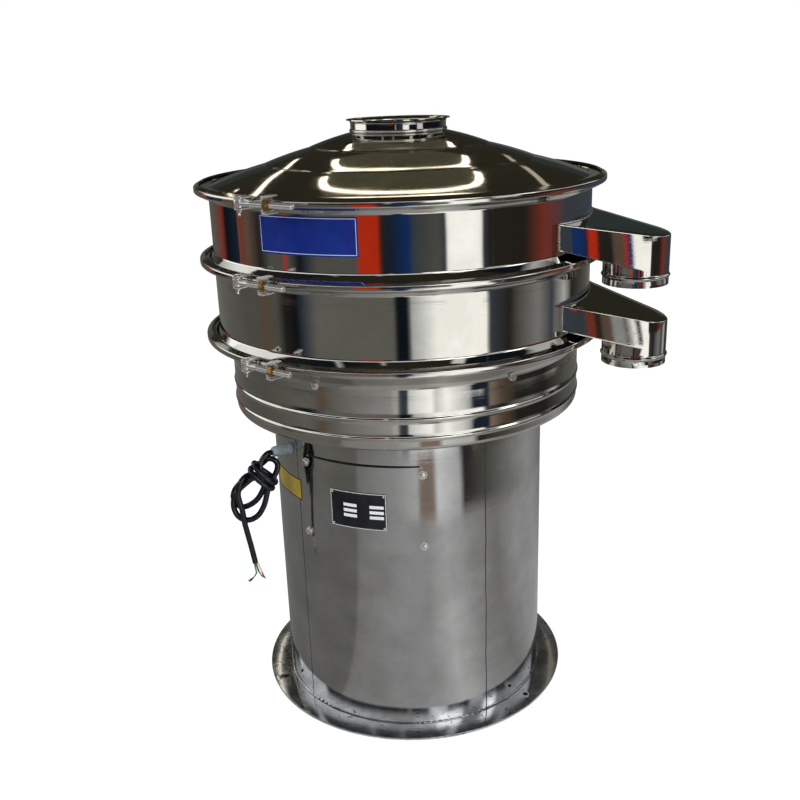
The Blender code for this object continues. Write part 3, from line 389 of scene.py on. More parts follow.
def woven_wire(name, pitch_mm):
    """Stainless screen cloth: two crossing sets of round wires, drawn coarser than the real cloth."""
    material, tree, shader = new_material(name, Metallic=1.0, Roughness=0.32)
    place = add(tree, "ShaderNodeTexCoord").outputs["Object"]
    scale = 1 / (pitch_mm * 0.001) / 20 * pi
    along = add(tree, "ShaderNodeTexWave", {"Vector": place, "Scale": scale}, bands_direction="X")
    across = add(tree, "ShaderNodeTexWave", {"Vector": place, "Scale": scale}, bands_direction="Y")
    top = add(tree, "ShaderNodeMath", {
        0: along.outputs["Fac"], 1: across.outputs["Fac"]}, operation="MAXIMUM").outputs["Value"]
    # Painted shade: dark where the wires dip and between them, pale on the wire tops
    colour = ramp(tree, top, [(0.45, linear("#2e2e2c")), (0.9, linear("#b4b2ab"))])
    tree.links.new(colour, shader.inputs["Base Color"])
    bump = add(tree, "ShaderNodeBump", {"Height": top, "Strength": 1.0, "Distance": 0.0003})
    tree.links.new(bump.outputs["Normal"], shader.inputs["Normal"])
    return material


# Stainless sheet, buffed to a mirror finish: nearly a mirror, with faint level lines
MIRROR = steel("mirror polished stainless", ("#c4c1ba", "#cfccc6"), (0.025, 0.055))
# The spun cover is buffed on the lathe, so its lines run round it and its waves are longer
SPUN = steel("spun and buffed stainless", ("#c6c3bb", "#d0cdc6"), (0.04, 0.08), streak_mm=0.6, wave=0.0005)
# The base is rolled from ordinary polished sheet and has been handled: softer, greyer reflections
ROLLED = steel("rolled satin stainless", ("#b9b8b6", "#cecdcb"), (0.06, 0.10), streak=0.00003, smudge_mm=90)
# Clamp rings are bent from bright strip
STRIP = steel("bright clamp strip", ("#c9c6bf", "#d4d1cb"), (0.07, 0.13), wave=0.0002)
# Floor flange: same steel after years on a wet floor, mottled brown and grey
FLANGE = stained_steel("stained flange stainless", ("#9b9ea3", "#c0c3c8", "#d5d8dc"), (0.07, 0.17))
# Machined steel fittings: turned bright, slightly greasy
TURNED = grained("turned bright steel", ("#cfcecb", "#dddcd9"), 0.16, 0.8, 0.00002, 0.8)
# Lugs and saddles are cut from plate and barrel finished: pale, softly bright
LUG = grained("barrel finished plate", ("#cccbc8", "#dad9d6"), 0.26, 0.8, 0.00002, 0.75)
# Weld bead, brushed clean: bright ripples
WELD = grained("brushed weld bead", ("#b9b6af", "#d4d2cc"), 0.24, 1.6, 0.0002, 0.8)
# Weld seam ground flush and left dull: a dark hairline
SEAM = grained("ground weld seam", ("#42423f", "#575653"), 0.45, 1.2, 0.00005, 0.8)
# Free-cutting brass nut, a little tarnished
BRASS = grained("tarnished brass", ("#8a6c3e", "#a8854e"), 0.28, 1.2, 0.00003, 0.9)
# Copper strands, bare
COPPER = grained("bare copper strand", ("#a05a3c", "#c07a52"), 0.30, 0.6, 0.00003, 1.0)
# Cast iron motor under hammered grey-blue paint
PAINTED = grained("painted cast iron", ("#4a555c", "#566168"), 0.45, 2.5, 0.0002)
# Springs are phosphated after coiling: dull and nearly black
SPRING = grained("phosphated spring steel", ("#26282a", "#323436"), 0.42, 1.0, 0.00005, 0.6)
# White food-grade silicone
SILICONE = grained("white silicone rubber", ("#cfcdc4", "#dbd9d1"), 0.55, 1.5, 0.00005)
# Painted shadow: black strip along the door's upper edge, standing in for the shade in the gap behind the
# bowed door
DOOR_GAP_SHADOW = grained("black rubber strip", ("#0b0b0b", "#141413"), 0.6, 1.0, 0.00005)
# Moulded PVC cable jacket, semi-gloss black with dust
JACKET = grained("black cable jacket", ("#070b13", "#0f151f"), 0.20, 1.2, 0.00003, Specular_IOR_Level=0.65)
# Nylon moulded in a matt tool: pale grey, softly dull
NYLON = grained("grey moulded nylon", ("#8b9ba3", "#9aa9b0"), 0.40, 1.4, 0.00005)
# Enamelled aluminium plate: black ground with bare metal left as lines
ENAMEL = grained("black enamel", ("#0d0e11", "#17181c"), 0.32, 1.8, 0.00003)
ALUMINIUM = grained("bare aluminium", ("#c9cacb", "#d8d9da"), 0.34, 0.8, 0.00002, 0.35)
WHITE_PRINT = grained("white printed fields", ("#dfe4e8", "#e9edf0"), 0.35, 1.0, 0.00002)
# Printed vinyl: gloss laminate over a flat blue or yellow ground
BLUE_VINYL = grained("blue vinyl", ("#0a2374", "#0e2a80"), 0.22, 3.0, 0.00003)
PALE_VINYL = grained("pale blue vinyl", ("#b9c8e6", "#c8d4ec"), 0.28, 3.0, 0.00003)
YELLOW_VINYL = grained("yellow vinyl", ("#998223", "#aa9430"), 0.40, 3.0, 0.00004)
BLACK_VINYL = grained("black vinyl", ("#141310", "#1d1b17"), 0.40, 3.0, 0.00003)
# Plate inside the drive space, never polished
DUST_GREY = grained("dull inner steel", ("#6f6d68", "#86837c"), 0.45, 2.0, 0.00005, 1.0)
# Extruded PVC insulation of the cores: plain colours with a soft gloss
GREEN_CORE = grained("green core insulation", ("#2f9a74", "#3aa882"), 0.40, 1.0, 0.00002)
CREAM_CORE = grained("cream core insulation", ("#d8ceb0", "#e2d9be"), 0.40, 1.0, 0.00002)
BROWN_CORE = grained("brown core insulation", ("#5c4030", "#6a4c3a"), 0.40, 1.0, 0.00002)
# Woven from stainless wire: a grey net whose low crossings and gaps are painted dark as shade, with a bump of
# the weave
WIRE_CLOTH = woven_wire("woven screen cloth", 3.0)


# Meshes


def make_piece(name, mesh, material, body="sieve_body", slot="polished_stainless", replaces=(), crease=32):
    """Puts a mesh into the scene as a piece that rides on a body."""
    mesh.shade_smooth()
    mesh.set_sharp_from_angle(angle=radians(crease))
    mesh.materials.clear()
    mesh.materials.append(material)
    item = put(name, mesh)
    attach(item, body)
    if replaces:
        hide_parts(*replaces)
    return item


def mesh_from(points, faces):
    """Mesh from an array of points of any layout and the corner numbers of its faces."""
    mesh = bpy.data.meshes.new("surface")
    mesh.from_pydata(np.asarray(points, float).reshape(-1, 3).tolist(), [], [list(face) for face in faces])
    mesh.update()
    return mesh


def grid_faces(rows, columns, closed=False):
    """Quads of a grid stored row by row; closed joins the last row to the first."""
    row = np.arange(rows if closed else rows - 1)[:, None]
    column = np.arange(columns - 1)[None, :]
    after = (row + 1) % rows
    corners = (row * columns + column, row * columns + column + 1,
               after * columns + column + 1, after * columns + column)
    return np.stack(corners, -1).reshape(-1, 4).tolist()


def polar(radius, angle, height):
    """Points at a radius and an angle in radians from the front round the machine's axis."""
    radius, angle, height = np.broadcast_arrays(radius, angle, height)
    return np.stack([AXIS_X + radius * np.sin(angle), -radius * np.cos(angle), height], -1)


def rounded(corners, radii, steps=6):
    """Polyline whose corners are replaced by arcs that touch both sides at the given radii."""
    corners = [np.array(corner, float) for corner in corners]
    line = [corners[0]]
    for before, corner, after, radius in zip(corners, corners[1:], corners[2:], radii):
        a = (before - corner) / np.linalg.norm(before - corner)
        b = (after - corner) / np.linalg.norm(after - corner)
        half = acos(np.clip(a @ b, -1, 1)) / 2
        if radius <= 0 or half > pi / 2 - 0.01:
            line.append(corner)
            continue
        back = min(radius / tan(half), 0.45 * np.linalg.norm(before - corner),
                   0.45 * np.linalg.norm(after - corner))
        real = back * tan(half)
        middle = corner + (a + b) / np.linalg.norm(a + b) * (real / sin(half))
        start = corner + a * back - middle
        end = corner + b * back - middle
        sweep = acos(np.clip(start @ end / real ** 2, -1, 1))
        for step in range(steps + 1):
            share = step / steps
            line.append(middle + (sin((1 - share) * sweep) * start + sin(share * sweep) * end) / sin(sweep))
    line.append(corners[-1])
    return np.array(line)


def refine(profile, longest):
    """Adds points to a profile so that no stretch is longer than a length."""
    profile = np.asarray(profile, float)
    line = [profile[:1]]
    for a, b in zip(profile, profile[1:]):
        count = max(1, int(np.ceil(np.linalg.norm(b - a) / longest)))
        share = (np.arange(count) + 1)[:, None] / count
        line.append(a + (b - a) * share)
    return np.concatenate(line)


def rolling_wave(angle, height, size):
    """Long shallow waves that rolling leaves in a sheet: two sines round it and one up it."""
    return size * (0.5 * np.sin(9 * angle + 3.1 * np.sin(7 * height)) + 0.35 * np.sin(17 * angle + 1.3)
                   + 0.25 * np.sin(40 * height + 4 * np.sin(2 * angle)))


def turn(profile, start=0.0, end=tau, segments=SEGMENTS, wave=0.0):
    """Points and faces of a profile of radius and height, top to bottom, turned round the axis."""
    closed = end - start >= tau - 1e-6
    angle = start + (end - start) * np.arange(segments if closed else segments + 1) / segments
    radius = profile[None, :, 0]
    height = profile[None, :, 1]
    radius = radius + (rolling_wave(angle[:, None], height, wave) if wave else 0.0)
    points = polar(radius, angle[:, None], height)
    return points, grid_faces(len(angle), len(profile), closed)


def close_poles(mesh, near=1e-6):
    """Merges points that lie together, so that poles and seams are closed, and turns faces outwards."""
    shape = bmesh.new()
    shape.from_mesh(mesh)
    bmesh.ops.remove_doubles(shape, verts=shape.verts, dist=near)
    bmesh.ops.recalc_face_normals(shape, faces=shape.faces)
    shape.to_mesh(mesh)
    shape.free()


def evaluated(item):
    """Mesh of an object with its modifiers applied."""
    return bpy.data.meshes.new_from_object(item.evaluated_get(bpy.context.evaluated_depsgraph_get()))


def thicken(mesh, thickness):
    """The mesh with a wall of that thickness grown inwards, closed at its rims."""
    item = put("thicken", mesh)
    wall = item.modifiers.new("wall", "SOLIDIFY")
    wall.thickness = thickness
    wall.offset = -1.0
    wall.use_even_offset = True
    result = evaluated(item)
    bpy.data.objects.remove(item)
    return result


def shell(name, profile, thickness, material, window=None, wave=0.0, start=0.0, end=tau, **piece):
    """Turned sheet: a profile turned round the axis, with a window left out, and its wall grown inwards."""
    points, faces = turn(profile, start, end, wave=wave)
    if window:
        middle_angle, half_angle, low, high = window
        middle = points.reshape(-1, 3)[np.array(faces)].mean(1)
        angle = np.degrees(np.arctan2(middle[:, 0] - AXIS_X, -middle[:, 1]))
        inside = (abs(angle - middle_angle) < half_angle) & (middle[:, 2] > low) & (middle[:, 2] < high)
        faces = [face for face, out in zip(faces, inside) if not out]
    return make_piece(name, thicken(mesh_from(points, faces), thickness), material, **piece)


def solid_turn(name, profile, place, direction, material, segments=40, **piece):
    """Closed profile of radius and height turned about a line from a place along a direction."""
    radius, height = np.asarray(profile, float).T
    angle = (tau * np.arange(segments) / segments)[:, None]
    points = np.stack(np.broadcast_arrays(radius * np.cos(angle), radius * np.sin(angle), height), -1)
    rotation = np.array(Vector((0, 0, 1)).rotation_difference(Vector(direction)).to_matrix())
    mesh = mesh_from(points @ rotation.T + np.array(place), grid_faces(segments, len(radius), True))
    close_poles(mesh)
    return make_piece(name, mesh, material, **piece)


def turned_on(place, direction, angle, radius, depth):
    """Mesh round a level line from a place along a direction: one radius for each angle and depth."""
    side = np.array((0.0, 0.0, 1.0))
    other = np.cross(direction, side)
    around = np.cos(angle)[:, None] * side + np.sin(angle)[:, None] * other
    points = np.array(place) + radius[..., None] * around[:, None, :] + depth[:, None] * np.array(direction)
    mesh = mesh_from(points, grid_faces(*radius.shape, True))
    close_poles(mesh)
    return mesh


def hexagon(corner_r, angle):
    """Radius of a hexagon at an angle: its flat's distance over the cosine of the angle from the flat."""
    return corner_r * cos(pi / 6) / np.cos((angle + pi / 6) % (pi / 3) - pi / 6)


def outward(angle):
    """Unit direction out from the axis at an angle in degrees."""
    return Vector((sin(radians(angle)), -cos(radians(angle)), 0))


def on_wall(radius, angle, height):
    """Place at a radius, an angle in degrees and a height."""
    return Vector((AXIS_X, 0, height)) + outward(angle) * radius


def dome_profile(radius, height):
    """Low domed head: a straight side, then an arc to the crown."""
    arc = [(radius * cos(a), height * (0.4 + 0.6 * sin(a))) for a in np.linspace(0, pi / 2, 9)[:-1]]
    return [(0, 0), (radius * 0.96, 0), (radius, 0.08 * height), *arc, (0, height)]


def tube(points, radius, sides=14, caps=True):
    """Round tube along points: each ring is turned from the last one without twist, ends closed."""
    line = np.asarray(points, float)
    count = len(line)
    ahead = np.gradient(line, axis=0)
    ahead /= np.linalg.norm(ahead, axis=1)[:, None]
    side = np.cross(ahead[0], (0.0, 0.0, 1.0))
    if np.linalg.norm(side) < 0.1:
        side = np.cross(ahead[0], (0.0, 1.0, 0.0))
    carried = []
    for direction in ahead:
        side = side - direction * (side @ direction)
        side /= np.linalg.norm(side)
        carried.append(side)
    side = np.array(carried)
    angle = (tau * np.arange(sides) / sides)[:, None, None]
    ring = side * np.cos(angle) + np.cross(ahead, side) * np.sin(angle)
    points = line + ring * np.broadcast_to(radius, (count,))[:, None]
    faces = [face[::-1] for face in grid_faces(sides, count, True)]
    if caps:
        start = [number * count for number in range(sides)]
        faces += [start[::-1], [first + count - 1 for first in start]]
    return points, faces


def smooth_line(points, per_span=6):
    """Catmull-Rom curve through points."""
    route = np.asarray(points, float)
    route = np.vstack([2 * route[0] - route[1], route, 2 * route[-1] - route[-2]])
    t = (np.arange(per_span) / per_span)[None, :, None]
    a, b, c, d = (route[i:len(route) - 3 + i][:, None, :] for i in range(4))
    line = 0.5 * (2 * b + (c - a) * t + (2 * a - 5 * b + 4 * c - d) * t ** 2
                  + (3 * b - a - 3 * c + d) * t ** 3)
    return np.vstack([line.reshape(-1, 3), route[-2]])


def joined(parts):
    """One array of points and one list of faces from several."""
    points, faces, first = [], [], 0
    for part_points, part_faces in parts:
        points.append(np.reshape(part_points, (-1, 3)))
        faces += [[index + first for index in face] for face in part_faces]
        first += len(points[-1])
    return np.concatenate(points), faces


# Cable


def hank_point(*spot_mm):
    """A place in the hank, from its foot along its lean."""
    along, across, depth = np.array(spot_mm) / 1000
    x = HANK_FOOT[0] + along * HANK_ALONG[0] + across * HANK_ALONG[1]
    z = HANK_FOOT[1] + along * HANK_ALONG[1] - across * HANK_ALONG[0]
    return (x, HANK_Y + depth, z)


def cable():
    """The free cable from the gland through its tied hank to the stripped end, as one spline."""
    route = [*LEAD_ROUTE, *[hank_point(*spot) for spot in HANK_ROUTE], *TAIL_ROUTE]
    line = smooth_line(route, 5)
    line[:, 0] += AXIS_X
    curve = bpy.data.curves.new("cable", "CURVE")
    curve.dimensions = "3D"
    curve.bevel_depth = CABLE_R
    curve.bevel_resolution = 6
    curve.use_fill_caps = True
    spline = curve.splines.new("POLY")
    spline.points.add(len(line) - 1)
    spline.points.foreach_set("co", np.column_stack([line, np.ones(len(line))]).ravel())
    spline.use_smooth = True
    curve.materials.append(JACKET)
    item = put("cable", curve)
    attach(item, "base")
    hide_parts("cable_lead", "cable_hank", "cable_tail")
    length = float(np.linalg.norm(np.diff(line, axis=0), axis=1).sum())
    return item, line, round(length, 3)


def cores(end, ahead):
    """Three insulated cores that leave the jacket, each with its bared strands."""
    side = np.cross(ahead, (0.0, 1.0, 0.0))
    front = np.array((0.0, -1.0, 0.0))
    made = []
    # Name, insulation, place at the jacket, bow, bared from, and how far the strands lean
    for name, material, start, bow, bare_at, far in (
            ("green_core", GREEN_CORE, -0.0022, -0.0010, 0.028, -0.020),
            ("cream_core", CREAM_CORE, 0.0020, 0.0070, 0.026, 0.003),
            ("brown_core", BROWN_CORE, 0.0000, 0.0030, 0.022, 0.006)):
        lift = front * (0.0012 if name == "brown_core" else -0.0008)
        tip = end + side * (start + bow) + lift + ahead * bare_at
        route = [end + side * start + lift - ahead * 0.001,
                 end + side * (start + bow * 0.5) + lift + ahead * 0.006, tip]
        insulation = mesh_from(*tube(smooth_line(route, 5), CORE_R))
        made.append(make_piece(name, insulation, material, "base", "core_insulation"))
        strands = []
        for strand in range(STRANDS):
            fan = (strand - (STRANDS - 1) / 2) * 0.0010
            aim = [tip - ahead * 0.0020 + side * fan * 0.5,
                   tip + side * (far * 0.35 + fan * 0.4) + ahead * 0.006,
                   tip + side * (far + fan) + ahead * (0.014 + 0.0012 * (strand % 3)) + front * fan * 0.6]
            strands.append(tube(smooth_line(aim, 4), STRAND_R, sides=6))
        made.append(make_piece(f"{name}_strands", mesh_from(*joined(strands)), COPPER, "base", "brass"))
    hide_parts("cable_cores")
    return made


def gland():
    """Nylon gland: hexagon on the wall, a ribbed middle and a smooth dome nut with its seal."""
    angle = tau * np.arange(72) / 72
    flats = hexagon(GLAND_HEX_R, angle)
    ribs = GLAND_BARREL_R + 0.0004 * np.sign(np.sin(18 * angle))
    end = GLAND_LENGTH - 0.002
    rows = [
        (0, 0), (flats * 0.97, 0), (flats, 0.0006), (flats, 0.0092), (flats * 0.96, 0.0100),
        (GLAND_NECK_R, 0.0101), (GLAND_NECK_R, 0.0128), (ribs, 0.0129), (ribs, 0.0262),
        (GLAND_NECK_R, 0.0263), (GLAND_NECK_R, 0.0278), (GLAND_BARREL_R, 0.0282), (GLAND_BARREL_R, 0.0395),
        (0.0098, 0.0435), (0.0085, end), (CABLE_R + 0.0004, end), (0, end)]
    radius = np.stack([np.broadcast_to(radius, angle.shape) for radius, _ in rows], 1)
    depth = np.array([depth for _, depth in rows])
    mesh = turned_on(on_wall(BASE_R + GAP, GLAND_ANGLE, GLAND_Z), outward(GLAND_ANGLE), angle, radius, depth)
    return make_piece("gland_body", mesh, NYLON, "base", "grey_nylon", ("cable_gland",), crease=25)


# Sheet metal


def lip(joint_z, side):
    """Lip and flare of a frame; side is 1 for the frame above the joint, -1 below it."""
    back = joint_z + side * LIP_BACK
    return [(LIP_R, back), (LIP_R - LIP_FLAT, back), (FRAME_R, back + side * LIP_FLARE_H)]


def cover_and_collar():
    """Spun cover: three slightly bulged cones with a pressed step between them. Collar: rolled lip,
    straight neck and a bead where it is seamed to the cover."""
    height = JOINT_Z["top"] + LIP_BACK
    radius = COVER_FOOT_R
    foot_end = (radius - COVER_FOOT_W, height + COVER_FOOT_W * COVER_SLOPE_SHARE)
    line = [rounded([(LIP_R, height), (radius, height), foot_end], [0.004])]
    start = foot_end
    for step_r in (*COVER_STEPS_R, None):
        end_r = COLLAR_R + GAP if step_r is None else step_r + COVER_STEP_W
        end_z = height + COVER_SLOPE_SHARE * (radius - end_r)
        share = np.linspace(0, 1, 15)[1:]
        line.append(np.column_stack([
            start[0] + (end_r - start[0]) * share,
            start[1] + (end_z - start[1]) * share + COVER_BULGE * 4 * share * (1 - share)]))
        height = end_z
        if step_r is None:
            break
        share = np.linspace(0, 1, 7)[1:]
        line.append(np.column_stack([
            end_r - COVER_STEP_W * share, end_z + COVER_STEP_H * (0.5 - 0.5 * np.cos(pi * share))]))
        radius = step_r
        height += COVER_STEP_H
        start = (radius, height)
    shell("spun_cover", np.concatenate(line)[::-1], SHEET, SPUN, replaces=("cover",), wave=0.00012)
    top = COLLAR_TOP_Z
    bead = height + COLLAR_BEAD_RISE
    neck = rounded([
        (COLLAR_LIP_R, top - 0.0020), (COLLAR_LIP_R - 0.0043, top - 0.0022),
        (COLLAR_R, top - COLLAR_FLARE_H - 0.001), (COLLAR_R, bead + COLLAR_BEAD_H)], [0.003, 0.004], 5)
    bend = np.linspace(pi / 2, -pi / 2, 9)[1:]
    bead_arc = np.column_stack([
        COLLAR_R + COLLAR_BEAD_OUT * np.cos(bend), bead + COLLAR_BEAD_H * np.sin(bend)])
    collar = np.concatenate([neck, bead_arc, [(COLLAR_R, height - COLLAR_TUCK)]])
    shell("rolled_collar", collar, THIN_SHEET, MIRROR, replaces=("inlet_collar",))


def screen_frames():
    """Two plain drums, each with its flared lips and a window for its spout."""
    for name, high, low in (("upper", "top", "middle"), ("lower", "middle", "bottom")):
        corners = lip(JOINT_Z[high], -1) + lip(JOINT_Z[low], 1)[::-1]
        profile = refine(rounded(corners, [0.003, 0.010, 0.010, 0.003]), LONGEST_STEP)
        angle = SPOUTS[f"{name}_spout"][0]
        floor = JOINT_Z[low] + SPOUT_FLOOR_LIFT
        window = (angle, SPOUT_HALF_ANGLE - 1.0, floor + SHEET, floor + SPOUT_H - 2 * SHEET)
        shell(f"{name}_frame_drum", profile, SHEET, MIRROR, window, 0.00016, replaces=(f"{name}_frame",))


def skirt():
    """Bottom frame: flared lip, two rolled beads and a foot curled inwards."""
    joint = JOINT_Z["bottom"]
    top = joint - SKIRT_LIP_DROP - SKIRT_T
    line = [rounded([(LIP_R, top), (LIP_R - LIP_FLAT, top), (SKIRT_R, top - SKIRT_FLARE_H),
                     (SKIRT_R, top - SKIRT_FLARE_H - 0.02)], [0.003, 0.020])]
    bend = np.linspace(-pi, pi, 17)
    for depth in SKIRT_BEADS:
        line.append(np.column_stack([
            SKIRT_R + SKIRT_BEAD_OUT * (0.5 + 0.5 * np.cos(bend)), joint - depth - SKIRT_BEAD_H * bend / pi]))
    bend = np.linspace(0, radians(80), 9)
    line.append(np.column_stack([
        SKIRT_R - SKIRT_CURL * (1 - np.cos(bend)), joint - SKIRT_DROP + SKIRT_CURL * (1 - np.sin(bend))]))
    profile = refine(np.concatenate(line), LONGEST_STEP)
    shell("rolled_skirt", profile, SKIRT_T, MIRROR, wave=0.00014, replaces=("bottom_frame",))
    for number in range(SKIRT_BOLTS):
        angle = SKIRT_BOLT_ANGLE + 360 / SKIRT_BOLTS * number
        solid_turn(f"skirt_bolt_head_{number + 1}", dome_profile(SKIRT_BOLT_R, SKIRT_BOLT_H),
                   on_wall(SKIRT_R, angle, joint - SKIRT_BOLT_DROP), outward(angle), TURNED)


def base():
    """Rolled base with its upright seams, and the flange it is welded to."""
    profile = refine([(BASE_R, BASE_TOP_Z), (BASE_R, FLANGE_T + GAP)], 0.02)
    shell("rolled_base", profile, BASE_WALL, ROLLED, wave=0.0002, body="base", slot="satin_stainless",
          replaces=("base_cylinder",))
    corners = [(FLANGE_IN_R, 0), (FLANGE_IN_R, FLANGE_T), (FLANGE_R, FLANGE_T), (FLANGE_R, 0),
               (FLANGE_IN_R, 0)]
    flange = mesh_from(*turn(rounded(corners, [0.0008, 0.0015, 0.0008], 4)))
    close_poles(flange)
    make_piece("floor_flange", bore_flange(flange), FLANGE, "base", "worn_stainless", ("base_flange",))
    angle = np.linspace(0, tau, 721)[:-1]
    ripple = 0.0022 + 0.0003 * np.sin(150 * angle) + 0.0002 * np.sin(37 * angle)
    ring = polar(BASE_R + WELD_OUT, angle, FLANGE_T + WELD_OUT)
    make_piece("foot_weld", mesh_from(*tube(ring, ripple, 10, caps=False)), FLANGE, "base", "worn_stainless")
    for number, seam in enumerate(SEAM_ANGLES):
        height = np.linspace(FLANGE_T + 0.003, BASE_TOP_Z - 0.002, 220)
        drift = 0.0006 * number * (np.sin(31 * height) + 0.6 * np.sin(77 * height))
        line = polar(BASE_R - WELD_OUT, radians(seam) + drift / BASE_R, height)
        seam_mesh = mesh_from(*tube(line, 0.0011 + 0.0003 * number, 8))
        make_piece(f"base_seam_{number + 1}", seam_mesh, SEAM, "base", "satin_stainless")


def bore_flange(mesh):
    """Cuts the anchor holes through the flange."""
    items = [put("flange", mesh)]
    for angle in ANCHOR_ANGLES:
        ends = [on_wall(ANCHOR_R, angle, height) for height in (-0.01, 0.02)]
        cutter = mesh_from(*tube(ends, ANCHOR_HOLE_R, 32))
        close_poles(cutter)
        items.append(put("hole", cutter))
        cut = items[0].modifiers.new("hole", "BOOLEAN")
        cut.object = items[-1]
        cut.operation = "DIFFERENCE"
    result = evaluated(items[0])
    for item in items:
        bpy.data.objects.remove(item)
    return result


def curved_plate(name, width, height, corner, radius, angle, middle_z, thickness, material, **piece):
    """Thin plate with round corners on a round wall, its outer face at a radius: the half width shrinks
    along a quarter circle towards the upper and lower edge."""
    edge = height / 2 - corner + corner * np.sin(np.linspace(0, pi / 2, 7))
    straight = np.linspace(corner - height / 2, height / 2 - corner, 9)[1:-1]
    levels = np.concatenate([-edge[::-1], straight, edge])
    over = np.clip(abs(levels) - (height / 2 - corner), 0, corner)
    half = width / 2 - corner + np.sqrt(np.maximum(corner ** 2 - over ** 2, 0))
    across = half * np.linspace(-1, 1, 40)[:, None]
    points = polar(radius, radians(angle) + across / radius, middle_z + levels[::-1])
    mesh = mesh_from(points, grid_faces(40, len(levels)))
    return make_piece(name, thicken(mesh, thickness), material, **piece)


def patch(x, z, width, height, radius, columns=12, rows=2, angle=PLATE_MID_ANGLE, middle_z=PLATE_Z):
    """Rectangle on a round wall, centred at x and z from a middle."""
    across = x + np.linspace(-width / 2, width / 2, columns)[:, None]
    levels = z + np.linspace(height / 2, -height / 2, rows)
    return polar(radius, radians(angle) + across / radius, middle_z + levels), grid_faces(columns, rows)


def frame_line(width, height, line, radius, **middle):
    """Thin rectangular outline on a round wall."""
    parts = []
    for sign in (-1, 1):
        parts.append(patch(0, sign * (height - line) / 2, width, line, radius, 24, **middle))
        parts.append(patch(sign * (width - line) / 2, 0, line, height, radius, 2, 8, **middle))
    return joined(parts)


def door():
    """Access door with four domed bolts, a black strip of painted shadow along its top edge, and the blank
    rating plate riveted to it.
    """
    satin = {"body": "base", "slot": "satin_stainless"}
    outer = BASE_R + GAP + DOOR_T
    curved_plate("door_panel", DOOR_W, DOOR_H, DOOR_CORNER_R, outer, DOOR_MID_ANGLE, DOOR_Z, DOOR_T, ROLLED,
                 replaces=("access_door",), **satin)
    # Painted shadow of the door gap: a black strip along the top edge, thickest in the middle where the door
    # stands off most
    share = np.linspace(0, 1, 60)
    sweep = radians(DOOR_MID_ANGLE) + (share - 0.5) * (DOOR_W - 0.014) / outer
    width = 0.0006 + 0.0013 * np.sin(pi * share) ** 0.7
    gap_shadow_line = polar(outer - 0.0006, sweep, DOOR_Z + DOOR_H / 2 + 0.0010 + 0.0008 * np.sin(pi * share))
    make_piece("door_seal_edge", mesh_from(*tube(gap_shadow_line, width, 10)), DOOR_GAP_SHADOW, "base", "cable_jacket")
    half = degrees(asin((DOOR_W / 2 - DOOR_BOLT_INSET_X) / BASE_R))
    washer = [(0, 0), (WASHER_R, 0), (WASHER_R, WASHER_T), (0, WASHER_T)]
    for number, (side, up) in enumerate(((-1, 1), (-1, -1), (1, 1), (1, -1)), 1):
        angle = DOOR_MID_ANGLE + side * half
        place = on_wall(outer, angle, DOOR_Z + up * (DOOR_H / 2 - DOOR_BOLT_INSET_Z))
        for name, line in (("bolt_head", dome_profile(DOOR_BOLT_R, DOOR_BOLT_H)), ("washer", washer)):
            solid_turn(f"door_{name}_{number}", line, place, outward(angle), TURNED, body="base")
    plate_r = outer + GAP + PLATE_T
    curved_plate("plate_ground", PLATE_W, PLATE_H, 0.003, plate_r, PLATE_MID_ANGLE, PLATE_Z, PLATE_T, ENAMEL,
                 body="base", slot="black_enamel", replaces=("rating_plate",))
    print_r = plate_r + PRINT_OUT
    outline = frame_line(PLATE_W - 0.001, PLATE_H - 0.001, 0.0020, print_r)
    make_piece("plate_border", mesh_from(*outline), ALUMINIUM, **satin)
    fields = [patch(x, z, 0.030, 0.0068, print_r)
              for x in (-0.0165, 0.0415) for z in (0.0110, -0.0010, -0.0125)]
    make_piece("plate_fields", mesh_from(*joined(fields)), WHITE_PRINT, **satin)
    for x, left_right in ((-1, "l"), (1, "r")):
        for z, up_down in ((-1, "b"), (1, "t")):
            angle = PLATE_MID_ANGLE + degrees(x * (PLATE_W / 2 - RIVET_INSET) / plate_r)
            place = on_wall(plate_r, angle, PLATE_Z + z * (PLATE_H / 2 - RIVET_INSET))
            solid_turn(f"plate_rivet_{left_right}{up_down}", dome_profile(RIVET_R, RIVET_H), place,
                       outward(angle), ALUMINIUM, 20, **satin)


def stickers():
    """Bare blue banner on the upper drum and bare yellow label beside the gland, each with a border."""
    for name, body, angles, heights, wall, ground, edge, inset, line in (
            ("banner", "sieve_body", BANNER_ANGLES, BANNER_Z, FRAME_R, BLUE_VINYL, PALE_VINYL, 0.0028,
             0.0011),
            ("side_label", "base", LABEL_ANGLES, LABEL_Z, BASE_R, YELLOW_VINYL, BLACK_VINYL, 0, 0.0024)):
        radius = wall + STICKER_OUT
        width = radians(angles[1] - angles[0]) * radius
        height = heights[1] - heights[0]
        angle = sum(angles) / 2
        middle = sum(heights) / 2
        curved_plate(f"{name}_ground", width, height, 0.0015, radius, angle, middle, STICKER_T, ground,
                     body=body, slot="black_enamel")
        outline = frame_line(width - 2 * inset, height - 2 * inset, line, radius + 0.0001, angle=angle,
                             middle_z=middle)
        make_piece(f"{name}_border", mesh_from(*outline), edge, body, "black_enamel")


# Spouts


